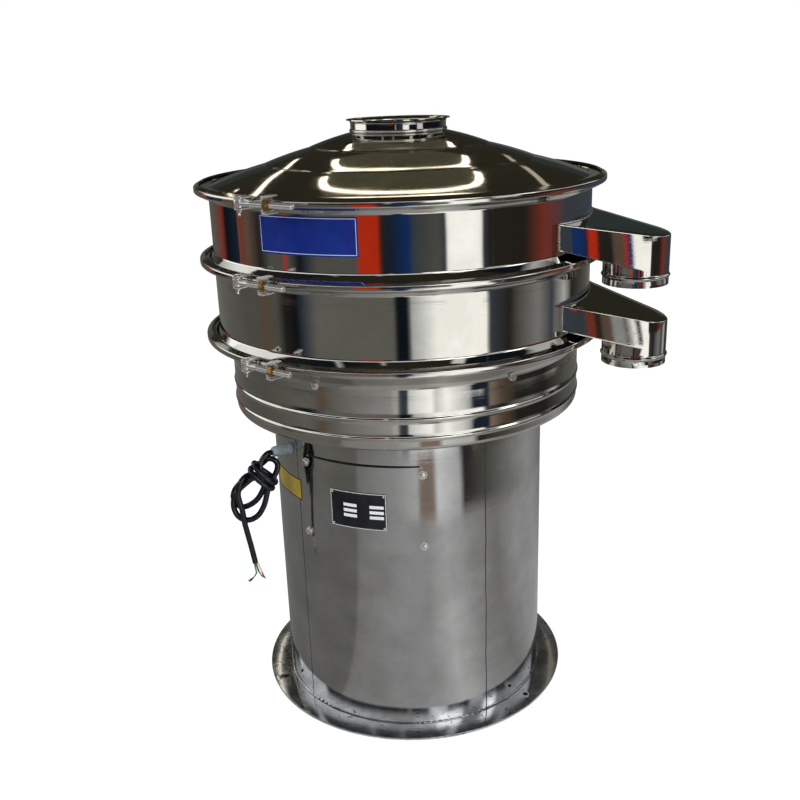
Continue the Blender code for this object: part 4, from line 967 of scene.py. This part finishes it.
def spout(name):
    """Teardrop box welded to a drum: walls from a sloping floor to a sloping roof with a rounded
    edge, and a round outlet pipe with a bead under its far end."""
    angle, joint, drop, slope = SPOUTS[name]
    half = radians(SPOUT_HALF_ANGLE)
    corner = FRAME_R * np.array((cos(half), sin(half)))
    floor = JOINT_Z[joint] + SPOUT_FLOOR_LIFT
    outlet = JOINT_Z[joint] - drop
    bead = outlet + SPOUT_BEAD_RISE
    away = corner - (SPOUT_REACH, 0)
    tangent = atan2(away[1], away[0]) - acos(SPOUT_PIPE_R / np.linalg.norm(away))

    def roof_z(points):
        return floor + SPOUT_H - slope * (points[..., 0] - corner[0])

    def floor_z(points):
        plane = floor - SPOUT_FLOOR_SLOPE_SHARE * (points[..., 0] - corner[0])
        return np.maximum(plane, bead + SPOUT_BEAD_H / 2 + 0.003)

    def circle(angles, radius=SPOUT_PIPE_R):
        return np.column_stack([SPOUT_REACH + radius * np.cos(angles), radius * np.sin(angles)])

    # Plan, seen from above: round the pipe, along one side, back along the drum, along the other side
    front = circle(np.linspace(-tangent, tangent, FRONT_STEPS))
    left = front[-1] + (corner - front[-1]) * np.linspace(0, 1, 13)[1:, None]
    wall_angle = np.linspace(half, -half, 41)[1:, None]
    wall = FRAME_R * np.hstack([np.cos(wall_angle), np.sin(wall_angle)])
    right = left[-2::-1] * (1, -1)
    outline = np.vstack([front, left, wall, right])
    ahead = np.roll(outline, -1, 0) - np.roll(outline, 1, 0)
    normal = ahead[:, ::-1] * (1, -1) / np.linalg.norm(ahead, axis=1)[:, None]
    drum_from = len(front) + len(left) - 1
    at_wall = np.zeros(len(outline), bool)
    at_wall[drum_from:drum_from + len(wall) + 1] = True
    inset = np.where(at_wall, 0.0, SPOUT_EDGE_R)[:, None]
    rings = [(outline, floor_z(outline)), (outline, roof_z(outline) - SPOUT_EDGE_R)]
    for bend in pi / 2 * np.arange(1, 6) / 5:
        ring = outline - normal * inset * (1 - cos(bend))
        rings.append((ring, roof_z(ring) - SPOUT_EDGE_R * (1 - sin(bend))))
    rim = rings[-1][0]
    for share in (0.25, 0.5, 0.75, 1.0):
        ring = rim + (np.array((SPOUT_REACH - 0.035, 0.0)) - rim) * share
        rings.append((ring, roof_z(ring)))
    box = np.stack([np.column_stack(ring) for ring in rings][::-1], 1)
    # The drum closes the back, so the box has no wall there below its roof
    open_row = at_wall & np.roll(at_wall, -1)
    box_faces = [
        face for index, face in enumerate(grid_faces(len(outline), len(rings), True))
        if not (open_row[index // (len(rings) - 1)] and index % (len(rings) - 1) >= len(rings) - 7)]
    # Floor: from the back of the pipe's circle out to the sides and the drum
    back_angles = np.linspace(tangent, tau - tangent, BACK_STEPS)
    rest = np.vstack([front[-1:], left, wall, right, front[:1]])
    gone = np.concatenate([[0], np.cumsum(np.linalg.norm(np.diff(rest, axis=0), axis=1))])
    where = np.linspace(0, gone[-1], BACK_STEPS)
    outer = np.column_stack([np.interp(where, gone, rest[:, 0]), np.interp(where, gone, rest[:, 1])])
    share = np.linspace(0, 1, 9)[None, :, None]
    plan = circle(back_angles)[:, None, :] * (1 - share) + outer[:, None, :] * share
    bottom = np.concatenate([plan, floor_z(plan)[..., None]], -1)
    bottom_faces = [face[::-1] for face in grid_faces(BACK_STEPS, 9)]
    # Pipe: from the floor down to the bead and the outlet
    ring_angles = np.concatenate([np.linspace(-tangent, tangent, FRONT_STEPS), back_angles[1:-1]])
    bend = np.linspace(-pi, pi, 13)
    heights = np.concatenate([[outlet, outlet + 0.004], bead + SPOUT_BEAD_H / 2 * bend / pi])
    radii = np.concatenate([[SPOUT_PIPE_R] * 2, SPOUT_PIPE_R + SPOUT_BEAD_OUT * (0.5 + 0.5 * np.cos(bend))])
    top = floor_z(circle(ring_angles))
    levels = [(SPOUT_PIPE_R, heights[-1] + (top - heights[-1]) * share) for share in (1.0, 0.75, 0.5, 0.25)]
    levels += [(radius, np.full(len(top), height)) for radius, height in zip(radii[::-1], heights[::-1])]
    pipe = np.stack([np.column_stack([circle(ring_angles, radius), level]) for radius, level in levels], 1)
    pipe_faces = grid_faces(len(ring_angles), len(levels), True)
    points, faces = joined([(box, box_faces), (bottom, bottom_faces), (pipe, pipe_faces)])
    rotation = np.array(Matrix.Rotation(radians(angle - 90), 3, "Z"))
    mesh = mesh_from(points @ rotation.T + (AXIS_X, 0, 0), faces)
    close_poles(mesh, 2e-5)
    make_piece(f"{name}_box", thicken(mesh, THIN_SHEET), MIRROR, replaces=(name,))
    # Weld beads over the roof and down both sides
    across = np.linspace(-half, half, 60)
    lines = [polar(FRAME_R + WELD_OUT, radians(angle) + across,
                   floor + SPOUT_H - slope * (FRAME_R * np.cos(across) - corner[0]) + WELD_OUT)]
    for sign in (-1, 1):
        lines.append(polar(FRAME_R + WELD_OUT, radians(angle) + sign * (half + 0.0012),
                           floor + SPOUT_H * np.linspace(0, 1, 30)))
    beads = [tube(line, 0.0017 + 0.0004 * np.sin(np.arange(len(line)) * 2.1), 8) for line in lines]
    make_piece(f"{name}_weld", mesh_from(*joined(beads)), WELD)


# Clamps


def local_block(low, high, corner=0.0008):
    """Block between two corners with its edges bevelled, in a closure's own frame."""
    size = Vector(high) - Vector(low)
    middle = (Vector(high) + Vector(low)) / 2
    shape = bmesh.new()
    bmesh.ops.create_cube(shape, size=1.0, matrix=Matrix.Translation(middle) @ Matrix.Diagonal((*size, 1.0)))
    bmesh.ops.bevel(shape, geom=list(shape.edges), offset=corner, segments=3, affect="EDGES", profile=0.5)
    points = np.array([vertex.co[:] for vertex in shape.verts])
    faces = [[vertex.index for vertex in face.verts] for face in shape.faces]
    shape.free()
    return points, faces


def clamp(name):
    """Split ring of bent strip, with its lugs and saddle, hinge pin, swing bolt and brass nut."""
    pin = Vector(JOINTS[f"{name}_bolt_swing"]["pos_m"])
    joint = pin.z
    middle = atan2(pin.x - AXIS_X, -pin.y) + asin(-PIN_X / BOLT_LINE_R)
    gap = RING_GAP_HALF / RING_R
    shoulder_r = RING_R - RING_SHOULDER_W
    band = rounded([
        (shoulder_r, joint + RING_HALF_H), (RING_R, joint + RING_BAND_HALF_H),
        (RING_R, joint - RING_BAND_HALF_H), (shoulder_r, joint - RING_HALF_H)], [0.004, 0.004], 5)
    shell(f"{name}_clamp_band", band, RING_T, STRIP, start=middle + gap, end=middle + tau - gap,
          replaces=(f"{name}_clamp_ring",))
    line_y = -BOLT_LINE_R
    lug_low = EYE_HALF_H + GAP
    parts = [lug(line_y, low) for low in (lug_low, -lug_low - LUG_T)]
    back = SADDLE_X - SADDLE_T
    y_out = line_y - SADDLE_OUT
    y_in = line_y + SADDLE_IN
    slot = BOLT_R + 0.0008
    front = SADDLE_X + SADDLE_FLANGE_L
    for side in (-1, 1):
        for inner, x_from, x_to in (
                (slot, back, SADDLE_X), (SADDLE_HALF_H - SADDLE_T, back + 0.0006, front)):
            z = sorted((side * SADDLE_HALF_H, side * inner))
            parts.append(local_block((x_from, y_out, z[0]), (x_to, y_in, z[1])))
    parts.append(local_block((back, line_y + slot, -slot - 0.001), (SADDLE_X, y_in, slot + 0.001)))
    points, faces = joined(parts)
    rotation = np.array(Matrix.Rotation(middle, 3, "Z"))
    make_piece(f"{name}_lugs", mesh_from(points @ rotation.T + (AXIS_X, 0, joint), faces), LUG)
    # Pin: tail with its split end, washer, shank and head, from the foot up
    head = lug_low + LUG_T + GAP
    foot = -head - PIN_TAIL
    pin_line = [
        (0, foot), (0.0022, foot + 0.0008), (0.0030, foot + 0.003), (0.0022, foot + 0.0055),
        (0.0021, -head - 0.0045), (0.0050, -head - 0.0040), (0.0050, -head - 0.0006), (PIN_R, -head),
        (PIN_R, head), (PIN_HEAD_R, head), (PIN_HEAD_R, head + PIN_HEAD_H * 0.5),
        (PIN_HEAD_R * 0.7, head + PIN_HEAD_H), (0, head + PIN_HEAD_H)]
    solid_turn(f"{name}_hinge_pin", pin_line, pin, (0, 0, 1), TURNED, 28, replaces=(f"{name}_clamp_pin",))
    along = (cos(middle), sin(middle), 0)
    swing_bolt(name, pin, along)
    nut(name, pin, along)


def lug(line_y, low):
    """Flat plate with a round outer end: its outline carried up by its thickness, edges chamfered."""
    angle = np.linspace(-pi / 2, pi / 2, 13)
    half = (LUG_FRONT + LUG_BACK) / 2
    middle = PIN_X + (LUG_FRONT - LUG_BACK) / 2
    arc = np.column_stack([middle - half * np.sin(angle), line_y - 0.0005 - LUG_ROUND * np.cos(angle)])
    outline = np.vstack([arc, [(middle - half, line_y + LUG_IN), (middle + half, line_y + LUG_IN)]])
    count = len(outline)
    centre = outline.mean(0)
    shrunk = centre + (outline - centre) * (1 - LUG_CHAMFER / 0.01)
    high = low + LUG_T
    layers = ((shrunk, low), (outline, low + LUG_CHAMFER), (outline, high - LUG_CHAMFER), (shrunk, high))
    points = np.stack([np.column_stack([edge, np.full(count, z)]) for edge, z in layers], 1)
    foot = [4 * number for number in range(count)]
    return points, [*grid_faces(count, 4, True), foot, [corner + 3 for corner in foot[::-1]]]


def swing_bolt(name, pin, along):
    """Eye bolt: a turned eye on the pin and a threaded shank. The thread is a helix whose radius is a
    triangle wave of height less turn, and the far end is rounded."""
    length = BOLT_LENGTHS[name]
    rows = int((length - THREAD_FROM) / THREAD_PITCH * 6)
    angle = tau * np.arange(24) / 24
    depth = np.concatenate([[SHANK_FROM, THREAD_FROM - 0.001], np.linspace(THREAD_FROM, length, rows)])
    phase = (depth / THREAD_PITCH - angle[:, None] / tau) % 1.0
    radius = BOLT_R - THREAD_DEPTH * (1 - abs(2 * phase - 1))
    radius[:, :2] = BOLT_R - 0.0002
    rest = np.clip((length - depth) / 0.003, 0, 1)
    radius *= np.sqrt(1 - (1 - rest) ** 2 * 0.55)
    shank = turned_on(pin, along, angle, np.pad(radius, ((0, 0), (1, 1))), np.pad(depth, 1, "edge"))
    body = f"{name}_bolt"
    make_piece(f"{name}_threaded_rod", shank, TURNED, body, crease=50)
    bore = PIN_R + 0.0005
    eye = rounded([(bore, EYE_HALF_H), (EYE_R, EYE_HALF_H), (EYE_R, -EYE_HALF_H), (bore, -EYE_HALF_H)],
                  [0.0016, 0.0016], 4)
    solid_turn(f"{name}_bolt_eye", np.vstack([eye, eye[:1]]), pin, (0, 0, 1), TURNED, 36, body=body,
               replaces=(f"{name}_swing_bolt",))


def nut(name, pin, along):
    """Hexagon nut with chamfered corners and a round collar: the radius is the smaller of the hexagon's
    and a cone's."""
    angle = tau * np.arange(96) / 96
    bore = BOLT_R + 0.0002
    depth = np.concatenate([[0.0], np.linspace(0, 0.002, 5), np.linspace(0.002, NUT_T - 0.002, 4)[1:],
                            np.linspace(NUT_T - 0.002, NUT_T, 5)[1:]])
    cone = NUT_CORNER_R * cos(pi / 6) - 0.0001 + np.minimum(depth, NUT_T - depth) * NUT_CHAMFER_SLOPE
    radius = np.minimum(hexagon(NUT_CORNER_R, angle)[:, None], cone)
    radius[:, 0] = bore
    end = NUT_T + NUT_COLLAR_T
    collar_r, collar_depth = np.transpose([
        (NUT_COLLAR_R + 0.0006, NUT_T), (NUT_COLLAR_R, NUT_T), (NUT_COLLAR_R, end - 0.0006),
        (NUT_COLLAR_R - 0.0006, end), (bore, end), (bore, 0.0)])
    radius = np.hstack([radius, np.tile(collar_r, (96, 1))])
    depth = SADDLE_X - PIN_X + NUT_GAP + np.concatenate([depth, collar_depth])
    make_piece(f"{name}_hex_nut", turned_on(pin, along, angle, radius, depth), BRASS, f"{name}_nut_body",
               "brass", (f"{name}_nut",), crease=25)


# Carried-over solids


def finish_nodes():
    """Gives each solid that still shows its own finish."""
    finishes = {
        "spring_ring": ROLLED, "motor_plate": DUST_GREY, "motor_housing": PAINTED, "motor_shaft": TURNED,
        "upper_weight": PAINTED, "lower_fixed_weight": PAINTED, "lower_adjustable_weight": PAINTED,
        "gland_locknut": NYLON, "collecting_tray": MIRROR, "screen_ring": MIRROR, "fine_mesh": WIRE_CLOTH,
        "support_mesh": WIRE_CLOTH, "bottom_gasket": SILICONE, "middle_gasket": SILICONE,
        "top_gasket": SILICONE}
    for name, node in NODES.items():
        material = finishes.get(name)
        if name.startswith("spring_") and name != "spring_ring":
            material = SPRING
        elif "bolt" in name:
            material = TURNED
        if material:
            node.data.materials.clear()
            node.data.materials.append(material)


# Studio

# Cards are brighter than what is seen in the steel, which gives back about six tenths of it
REFLECTED = 1.6
LAMP_SIZE = 2.4


def emptied(block):
    """Node tree of a material or world, with its nodes taken out."""
    block.use_nodes = True
    block.node_tree.nodes.clear()
    return block.node_tree


def seen_share(tree):
    """1 for rays from the camera, in gloss and through glass, and 0 for rays that gather light."""
    path = add(tree, "ShaderNodeLightPath").outputs
    share = path["Is Camera Ray"]
    for kind in ("Is Glossy Ray", "Is Transmission Ray"):
        share = add(tree, "ShaderNodeMath", {0: share, 1: path[kind]}, operation="MAXIMUM").outputs["Value"]
    return share


def blend(tree, share, first, second, output):
    """Two shaders mixed by a share into the output of the tree."""
    mixed = add(tree, "ShaderNodeMixShader", {0: share, 1: first.outputs[0], 2: second.outputs[0]})
    add(tree, output, {"Surface": mixed.outputs[0]})


def glow(name, hex_code=None, strength=REFLECTED, stops=None):
    """Light that shows only in gloss: one colour, or colours by the angle round the machine."""
    material = bpy.data.materials.new(name)
    tree = emptied(material)
    light = add(tree, "ShaderNodeEmission", {"Strength": strength})
    if stops:
        place = add(tree, "ShaderNodeTexCoord").outputs["Object"]
        turned = add(tree, "ShaderNodeMapping", {
            "Vector": place, "Location": (0, -AXIS_X, 0), "Rotation": (0, 0, pi / 2)})
        angle = add(tree, "ShaderNodeTexGradient", {
            "Vector": turned.outputs["Vector"]}, gradient_type="RADIAL")
        colour = ramp(tree, angle.outputs["Fac"], [
            (degree / 360 + 0.5, linear(STAGE_COLOURS[name])) for degree, name in stops])
        tree.links.new(colour, light.inputs["Color"])
    else:
        light.inputs["Color"].default_value = linear(hex_code)
    add(tree, "ShaderNodeOutputMaterial", {"Surface": light.outputs["Emission"]})
    material.cycles.emission_sampling = "NONE"
    return material


def card(name, points, faces=((0, 1, 2, 3),), **light):
    """Studio card or lamp that only the steel reflects."""
    item = put(name, mesh_from(points, faces))
    item.data.materials.append(glow(name, **light))
    for kind in ("camera", "diffuse", "shadow", "transmission", "volume_scatter"):
        setattr(item, f"visible_{kind}", False)


def ring_card(name, first, last, stops, start=0, end=360, strength=REFLECTED):
    """Ring round the machine between two places of radius and height, coloured by the angle."""
    points, faces = turn(np.array([first, last]), radians(start), radians(end), segments=180)
    card(name, points, faces, stops=stops, strength=strength)


def studio():
    """Plain pale floor and background, a dark disc of painted shade under the flange, soft lamps, and the
    cards that shape the reflections.
    """
    scene = bpy.context.scene
    scene.view_settings.view_transform = "Standard"
    scene.world = bpy.data.worlds.new("studio")
    tree = emptied(scene.world)
    ambient = add(tree, "ShaderNodeBackground", {"Color": linear("#ffffff"), "Strength": 0.45})
    backdrop = add(tree, "ShaderNodeBackground", {"Color": linear("#ffffff"), "Strength": 1.0})
    blend(tree, seen_share(tree), ambient, backdrop, "ShaderNodeOutputWorld")
    floor_material = bpy.data.materials.new("white floor")
    tree = emptied(floor_material)
    share = add(tree, "ShaderNodeMath", {0: seen_share(tree), 1: 0.8}, operation="MULTIPLY").outputs["Value"]
    matt = add(tree, "ShaderNodeBsdfDiffuse", {"Color": linear("#f2f2f2")})
    white = add(tree, "ShaderNodeEmission", {"Color": linear("#ffffff"), "Strength": 1.16})
    blend(tree, share, matt, white, "ShaderNodeOutputMaterial")
    floor_material.cycles.emission_sampling = "NONE"
    # Painted contact shade: a dark disc just under the flange, so the anchor holes show dark rather than the
    # white floor
    under = grained("dark ground under the flange", ("#161514", "#1e1c1a"), 0.8, 3.0, 0.0)
    square = [(-20, -20, -0.001), (20, -20, -0.001), (20, 20, -0.001), (-20, 20, -0.001)]
    disc = polar(FLANGE_R - 0.004, tau * np.arange(96) / 96, -0.0007)
    for name, points, material in (("floor", square, floor_material), ("ground_under_flange", disc, under)):
        item = put(name, mesh_from(points, [range(len(points))]))
        item.data.materials.append(material)
    for name, place, aim, power in (
            ("key_lamp", (-2.2, -3.0, 3.6), (AXIS_X, 0, 0.8), 95),
            ("fill_lamp", (2.8, -2.2, 2.6), (AXIS_X, 0, 0.8), 45),
            ("back_lamp", (0.5, 3.2, 3.4), (AXIS_X, 0, 0.9), 60)):
        lamp = bpy.data.lights.new(name, "AREA")
        lamp.shape = "SQUARE"
        lamp.size = LAMP_SIZE
        lamp.energy = power
        item = put(name, lamp)
        item.location = place
        item.rotation_euler = (Vector(aim) - Vector(place)).to_track_quat("-Z", "Y").to_euler()
        item.visible_glossy = False
    reflections()


# Colours that the steel shows of the room: walls, door openings, drums, daylight and wet floor
STAGE_COLOURS = {
    "ink": "#0e1218", "night": "#16202e", "soot": "#22201d", "slate": "#343a42", "ash": "#4a4a46",
    "grey": "#5a5a56", "iron": "#5d5d5c", "stone": "#727272", "mist": "#878788", "haze": "#a2a4a4",
    "pale": "#c4c7c8", "white": "#f6f7f5", "blue": "#122c5c", "earth": "#54463c", "rust": "#6c3026",
    "red": "#a42a14", "clay": "#76685e",
}
# Angle in degrees and colour, from the left rear by the front to the right rear
HIGH_WALL = (
    (-180, "ash"), (-141, "ash"), (-124, "rust"), (-118, "ink"), (-104, "night"), (-103.4, "haze"),
    (-102.6, "rust"), (-94, "earth"), (-84, "soot"), (-76, "ash"), (-67, "ash"), (-66, "red"), (-64, "ash"),
    (-57, "ink"), (-51, "slate"), (-46, "ash"), (-24, "ash"), (-22.5, "red"), (-12.5, "red"), (-11, "soot"),
    (-6, "night"), (4, "blue"), (6, "slate"), (19, "ash"), (22.5, "slate"), (24, "white"), (42, "white"),
    (43.5, "slate"), (47, "soot"), (70, "soot"), (84, "rust"), (104, "slate"),
)
LOW_WALL = (
    (-180, "grey"), (-141, "grey"), (-100, "ash"), (-92, "ash"), (-84, "earth"), (-75, "ash"), (-69, "soot"),
    (-61, "ink"), (-56, "slate"), (-48, "grey"), (-24, "grey"), (-6, "grey"), (-4, "ink"), (2.5, "ink"),
    (4, "haze"), (10, "pale"), (18, "white"), (45, "white"), (47, "slate"), (60, "soot"), (66, "ash"),
    (80, "stone"), (92, "slate"), (104, "haze"), (112, "soot"), (150, "grey"),
)
FAR_FLOOR = (
    (-180, "grey"), (-100, "ash"), (-60, "grey"), (-52, "earth"), (-44, "grey"), (-28, "stone"),
    (-10, "mist"), (-6, "haze"), (-4, "slate"), (0, "slate"), (1.5, "pale"), (14, "white"), (17, "pale"),
    (23, "white"), (33, "pale"), (37, "haze"), (39, "night"), (49, "night"), (51, "clay"), (58, "earth"),
    (70, "soot"), (95, "soot"), (120, "ash"), (170, "grey"),
)
MID_FLOOR = (
    (-180, "grey"), (-60, "grey"), (-41, "grey"), (-39, "stone"), (-8, "mist"), (6, "haze"), (8, "clay"),
    (18, "clay"), (21, "pale"), (38, "haze"), (42, "soot"), (64, "ash"), (74, "grey"), (110, "mist"),
    (150, "grey"),
)
NEAR_FLOOR = (
    (-180, "iron"), (-60, "iron"), (-41, "iron"), (-39, "stone"), (-6, "mist"), (12, "mist"), (26, "haze"),
    (44, "mist"), (68, "stone"), (90, "mist"), (120, "mist"), (150, "iron"),
)
DARK_BAND = (
    (-180, "soot"), (-150, "ash"), (-126, "soot"), (-120, "white"), (-84, "white"), (-80, "ink"),
    (-8, "ink"), (-6, "haze"), (-4, "ink"), (10, "slate"), (12, "white"), (24, "white"), (26, "ink"),
    (44, "ink"), (46, "pale"), (58, "pale"), (60, "ink"), (110, "ink"), (140, "ash"),
)
DAYLIGHT = (
    (-180, "ash"), (-130, "stone"), (-110, "haze"), (-60, "haze"), (-20, "mist"), (16, "haze"),
    (19, "white"), (38, "white"), (41, "stone"), (58, "stone"), (61, "white"), (70, "white"), (73, "stone"),
    (120, "mist"), (160, "ash"),
)
UNDER_ROOF = (
    (-180, "soot"), (-114, "soot"), (-110, "pale"), (-102, "pale"), (-98, "soot"), (-44, "ink"),
    (-42, "haze"), (-38, "ink"), (-16, "soot"), (-14, "haze"), (-12, "soot"), (28, "soot"), (30, "pale"),
    (36, "pale"), (38, "ink"), (76, "ink"), (84, "haze"), (100, "soot"), (150, "ash"),
)
ROOM_R = 2.8
FAR_R = 1.95
MID_R = 1.35
DAYLIGHT_Z = (1.5, 2.3)
WALL_Z = (0.45, 0.95)
CEILING_Z = 3.3
BACK_Y = 9.0
FLOOR_CARD_Z = -0.0004
# Tubes under the ceiling, away from the camera: x, first and last y, half width, strength
TUBES = ((-1.6, 1.0, 6.0, 0.045, 3.0), (-2.1, 0.4, 5.0, 0.04, 3.0), (1.5, 1.6, 5.5, 0.05, 0.6))

# Strips in front of the spouts, which only their flat sides see. They stand along a line of sight that
# the frames reflect, so the frames see them edge on. Lower and upper edge, then ends and colours
NEAR_STRIPS = (
    (0.88, 1.12, (
        (0.345, "slate"), (0.388, "blue"), (0.423, "night"), (0.433, "red"), (0.460, "soot"),
        (0.505, "earth"), (0.542, "red"), (0.552, "blue"), (0.569, "white"), (0.608, None))),
    (0.70, 0.88, (
        (0.395, "slate"), (0.4845, "rust"), (0.515, "soot"), (0.538, "earth"), (0.577, "mist"),
        (0.624, "ink"), (0.633, "haze"), (0.651, "white"), (0.666, "slate"), (0.692, None))),
)
STRIP_START = (0.1635, -0.3672)
STRIP_SLOPE = -0.742
# The lamp near the machine, from above, and the width it has
NEAR_LAMP = (
    (-0.80, 3.25), (-0.79, 2.75), (-0.70, 2.30), (-0.42, 1.95), (0.0, 1.82), (0.37, 1.95), (0.63, 2.30),
    (0.71, 2.75), (0.72, 3.25))
NEAR_LAMP_HALF = 0.038
LAMP_Z = CEILING_Z - 0.02


def ribbon(name, middle, half, strength):
    """Lamp: a level strip of warm light along points."""
    ahead = np.gradient(middle, axis=0)
    side = np.cross(ahead / np.linalg.norm(ahead, axis=1)[:, None], (0, 0, 1)) * half
    card(name, np.stack([middle - side, middle + side], 1), grid_faces(len(middle), 2), hex_code="#fff3da",
         strength=strength)


def reflections():
    """Walls, floor and roof of a dim workshop, as cards that only the steel reflects."""
    # Rings: name, radius and height of both edges, colours by the angle, and the stretch and strength
    for name, first, last, stops, *rest in (
            ("under_roof", (ROOM_R, CEILING_Z), (ROOM_R, DAYLIGHT_Z[1]), UNDER_ROOF, -128, 105),
            ("daylight", (ROOM_R, DAYLIGHT_Z[1]), (ROOM_R, DAYLIGHT_Z[0]), DAYLIGHT, -140, 130, 3.1),
            ("dark_band", (ROOM_R, DAYLIGHT_Z[0]), (ROOM_R, WALL_Z[1]), DARK_BAND),
            ("high_wall", (ROOM_R, WALL_Z[1]), (ROOM_R, WALL_Z[0]), HIGH_WALL),
            ("low_wall", (ROOM_R, WALL_Z[0]), (ROOM_R, 0.0), LOW_WALL),
            ("far_floor", (ROOM_R, FLOOR_CARD_Z), (FAR_R, FLOOR_CARD_Z), FAR_FLOOR),
            ("mid_floor", (FAR_R, FLOOR_CARD_Z), (MID_R, FLOOR_CARD_Z), MID_FLOOR),
            ("near_floor", (MID_R, FLOOR_CARD_Z), (FLANGE_R + 0.004, FLOOR_CARD_Z), NEAR_FLOOR)):
        ring_card(name, first, last, stops, *rest)
    for name, x, y1, y2, z, colour in (
            ("ceiling", 6.0, -3.0, BACK_Y, CEILING_Z, "#23221a"),
            ("ceiling_middle", 0.75, 1.9, 3.4, CEILING_Z - 0.01, "#403e31")):
        card(name, [(-x, y1, z), (-x, y2, z), (x, y2, z), (x, y1, z)], hex_code=colour)
    for name, x1, y1, x2, y2, colour in (
            ("back_wall", -6, BACK_Y, 6, BACK_Y, "#262c2c"),
            ("side_wall_l", -6, -3, -6, BACK_Y, "#20262a"), ("side_wall_r", 6, -3, 6, BACK_Y, "#20262a")):
        card(name, [(x1, y1, 0), (x1, y1, CEILING_Z), (x2, y2, CEILING_Z), (x2, y2, 0)], hex_code=colour)
    for row, (bottom, top, ends) in enumerate(NEAR_STRIPS):
        for (x1, colour), (x2, _) in zip(ends, ends[1:]):
            corners = [(AXIS_X + x, STRIP_START[1] + (x - STRIP_START[0]) * STRIP_SLOPE, z)
                       for x, z in ((x1, bottom), (x2, bottom), (x2, top), (x1, top))]
            card(f"near_strip_{row}_{x1:.3f}", corners, hex_code=STAGE_COLOURS[colour])
    near_lamp = smooth_line([(x, y, LAMP_Z) for x, y in NEAR_LAMP], 6)
    ribbon("near_lamp", near_lamp, NEAR_LAMP_HALF, 4.0)
    for number, (x, y1, y2, half, strength) in enumerate(TUBES):
        ends = np.array([(x, y, LAMP_Z) for y in (y1, y2)])
        ribbon(f"tube_lamp_{number}", ends, half, strength)


camera()
cable_piece, cable_line, cable_length = cable()
end_direction = cable_line[-1] - cable_line[-3]
core_pieces = cores(cable_line[-1], end_direction / np.linalg.norm(end_direction))
gland_piece = gland()
cover_and_collar()
screen_frames()
skirt()
base()
door()
stickers()
for spout_name in SPOUTS:
    spout(spout_name)
for clamp_name in ("top", "middle", "bottom"):
    clamp(clamp_name)
finish_nodes()
studio()
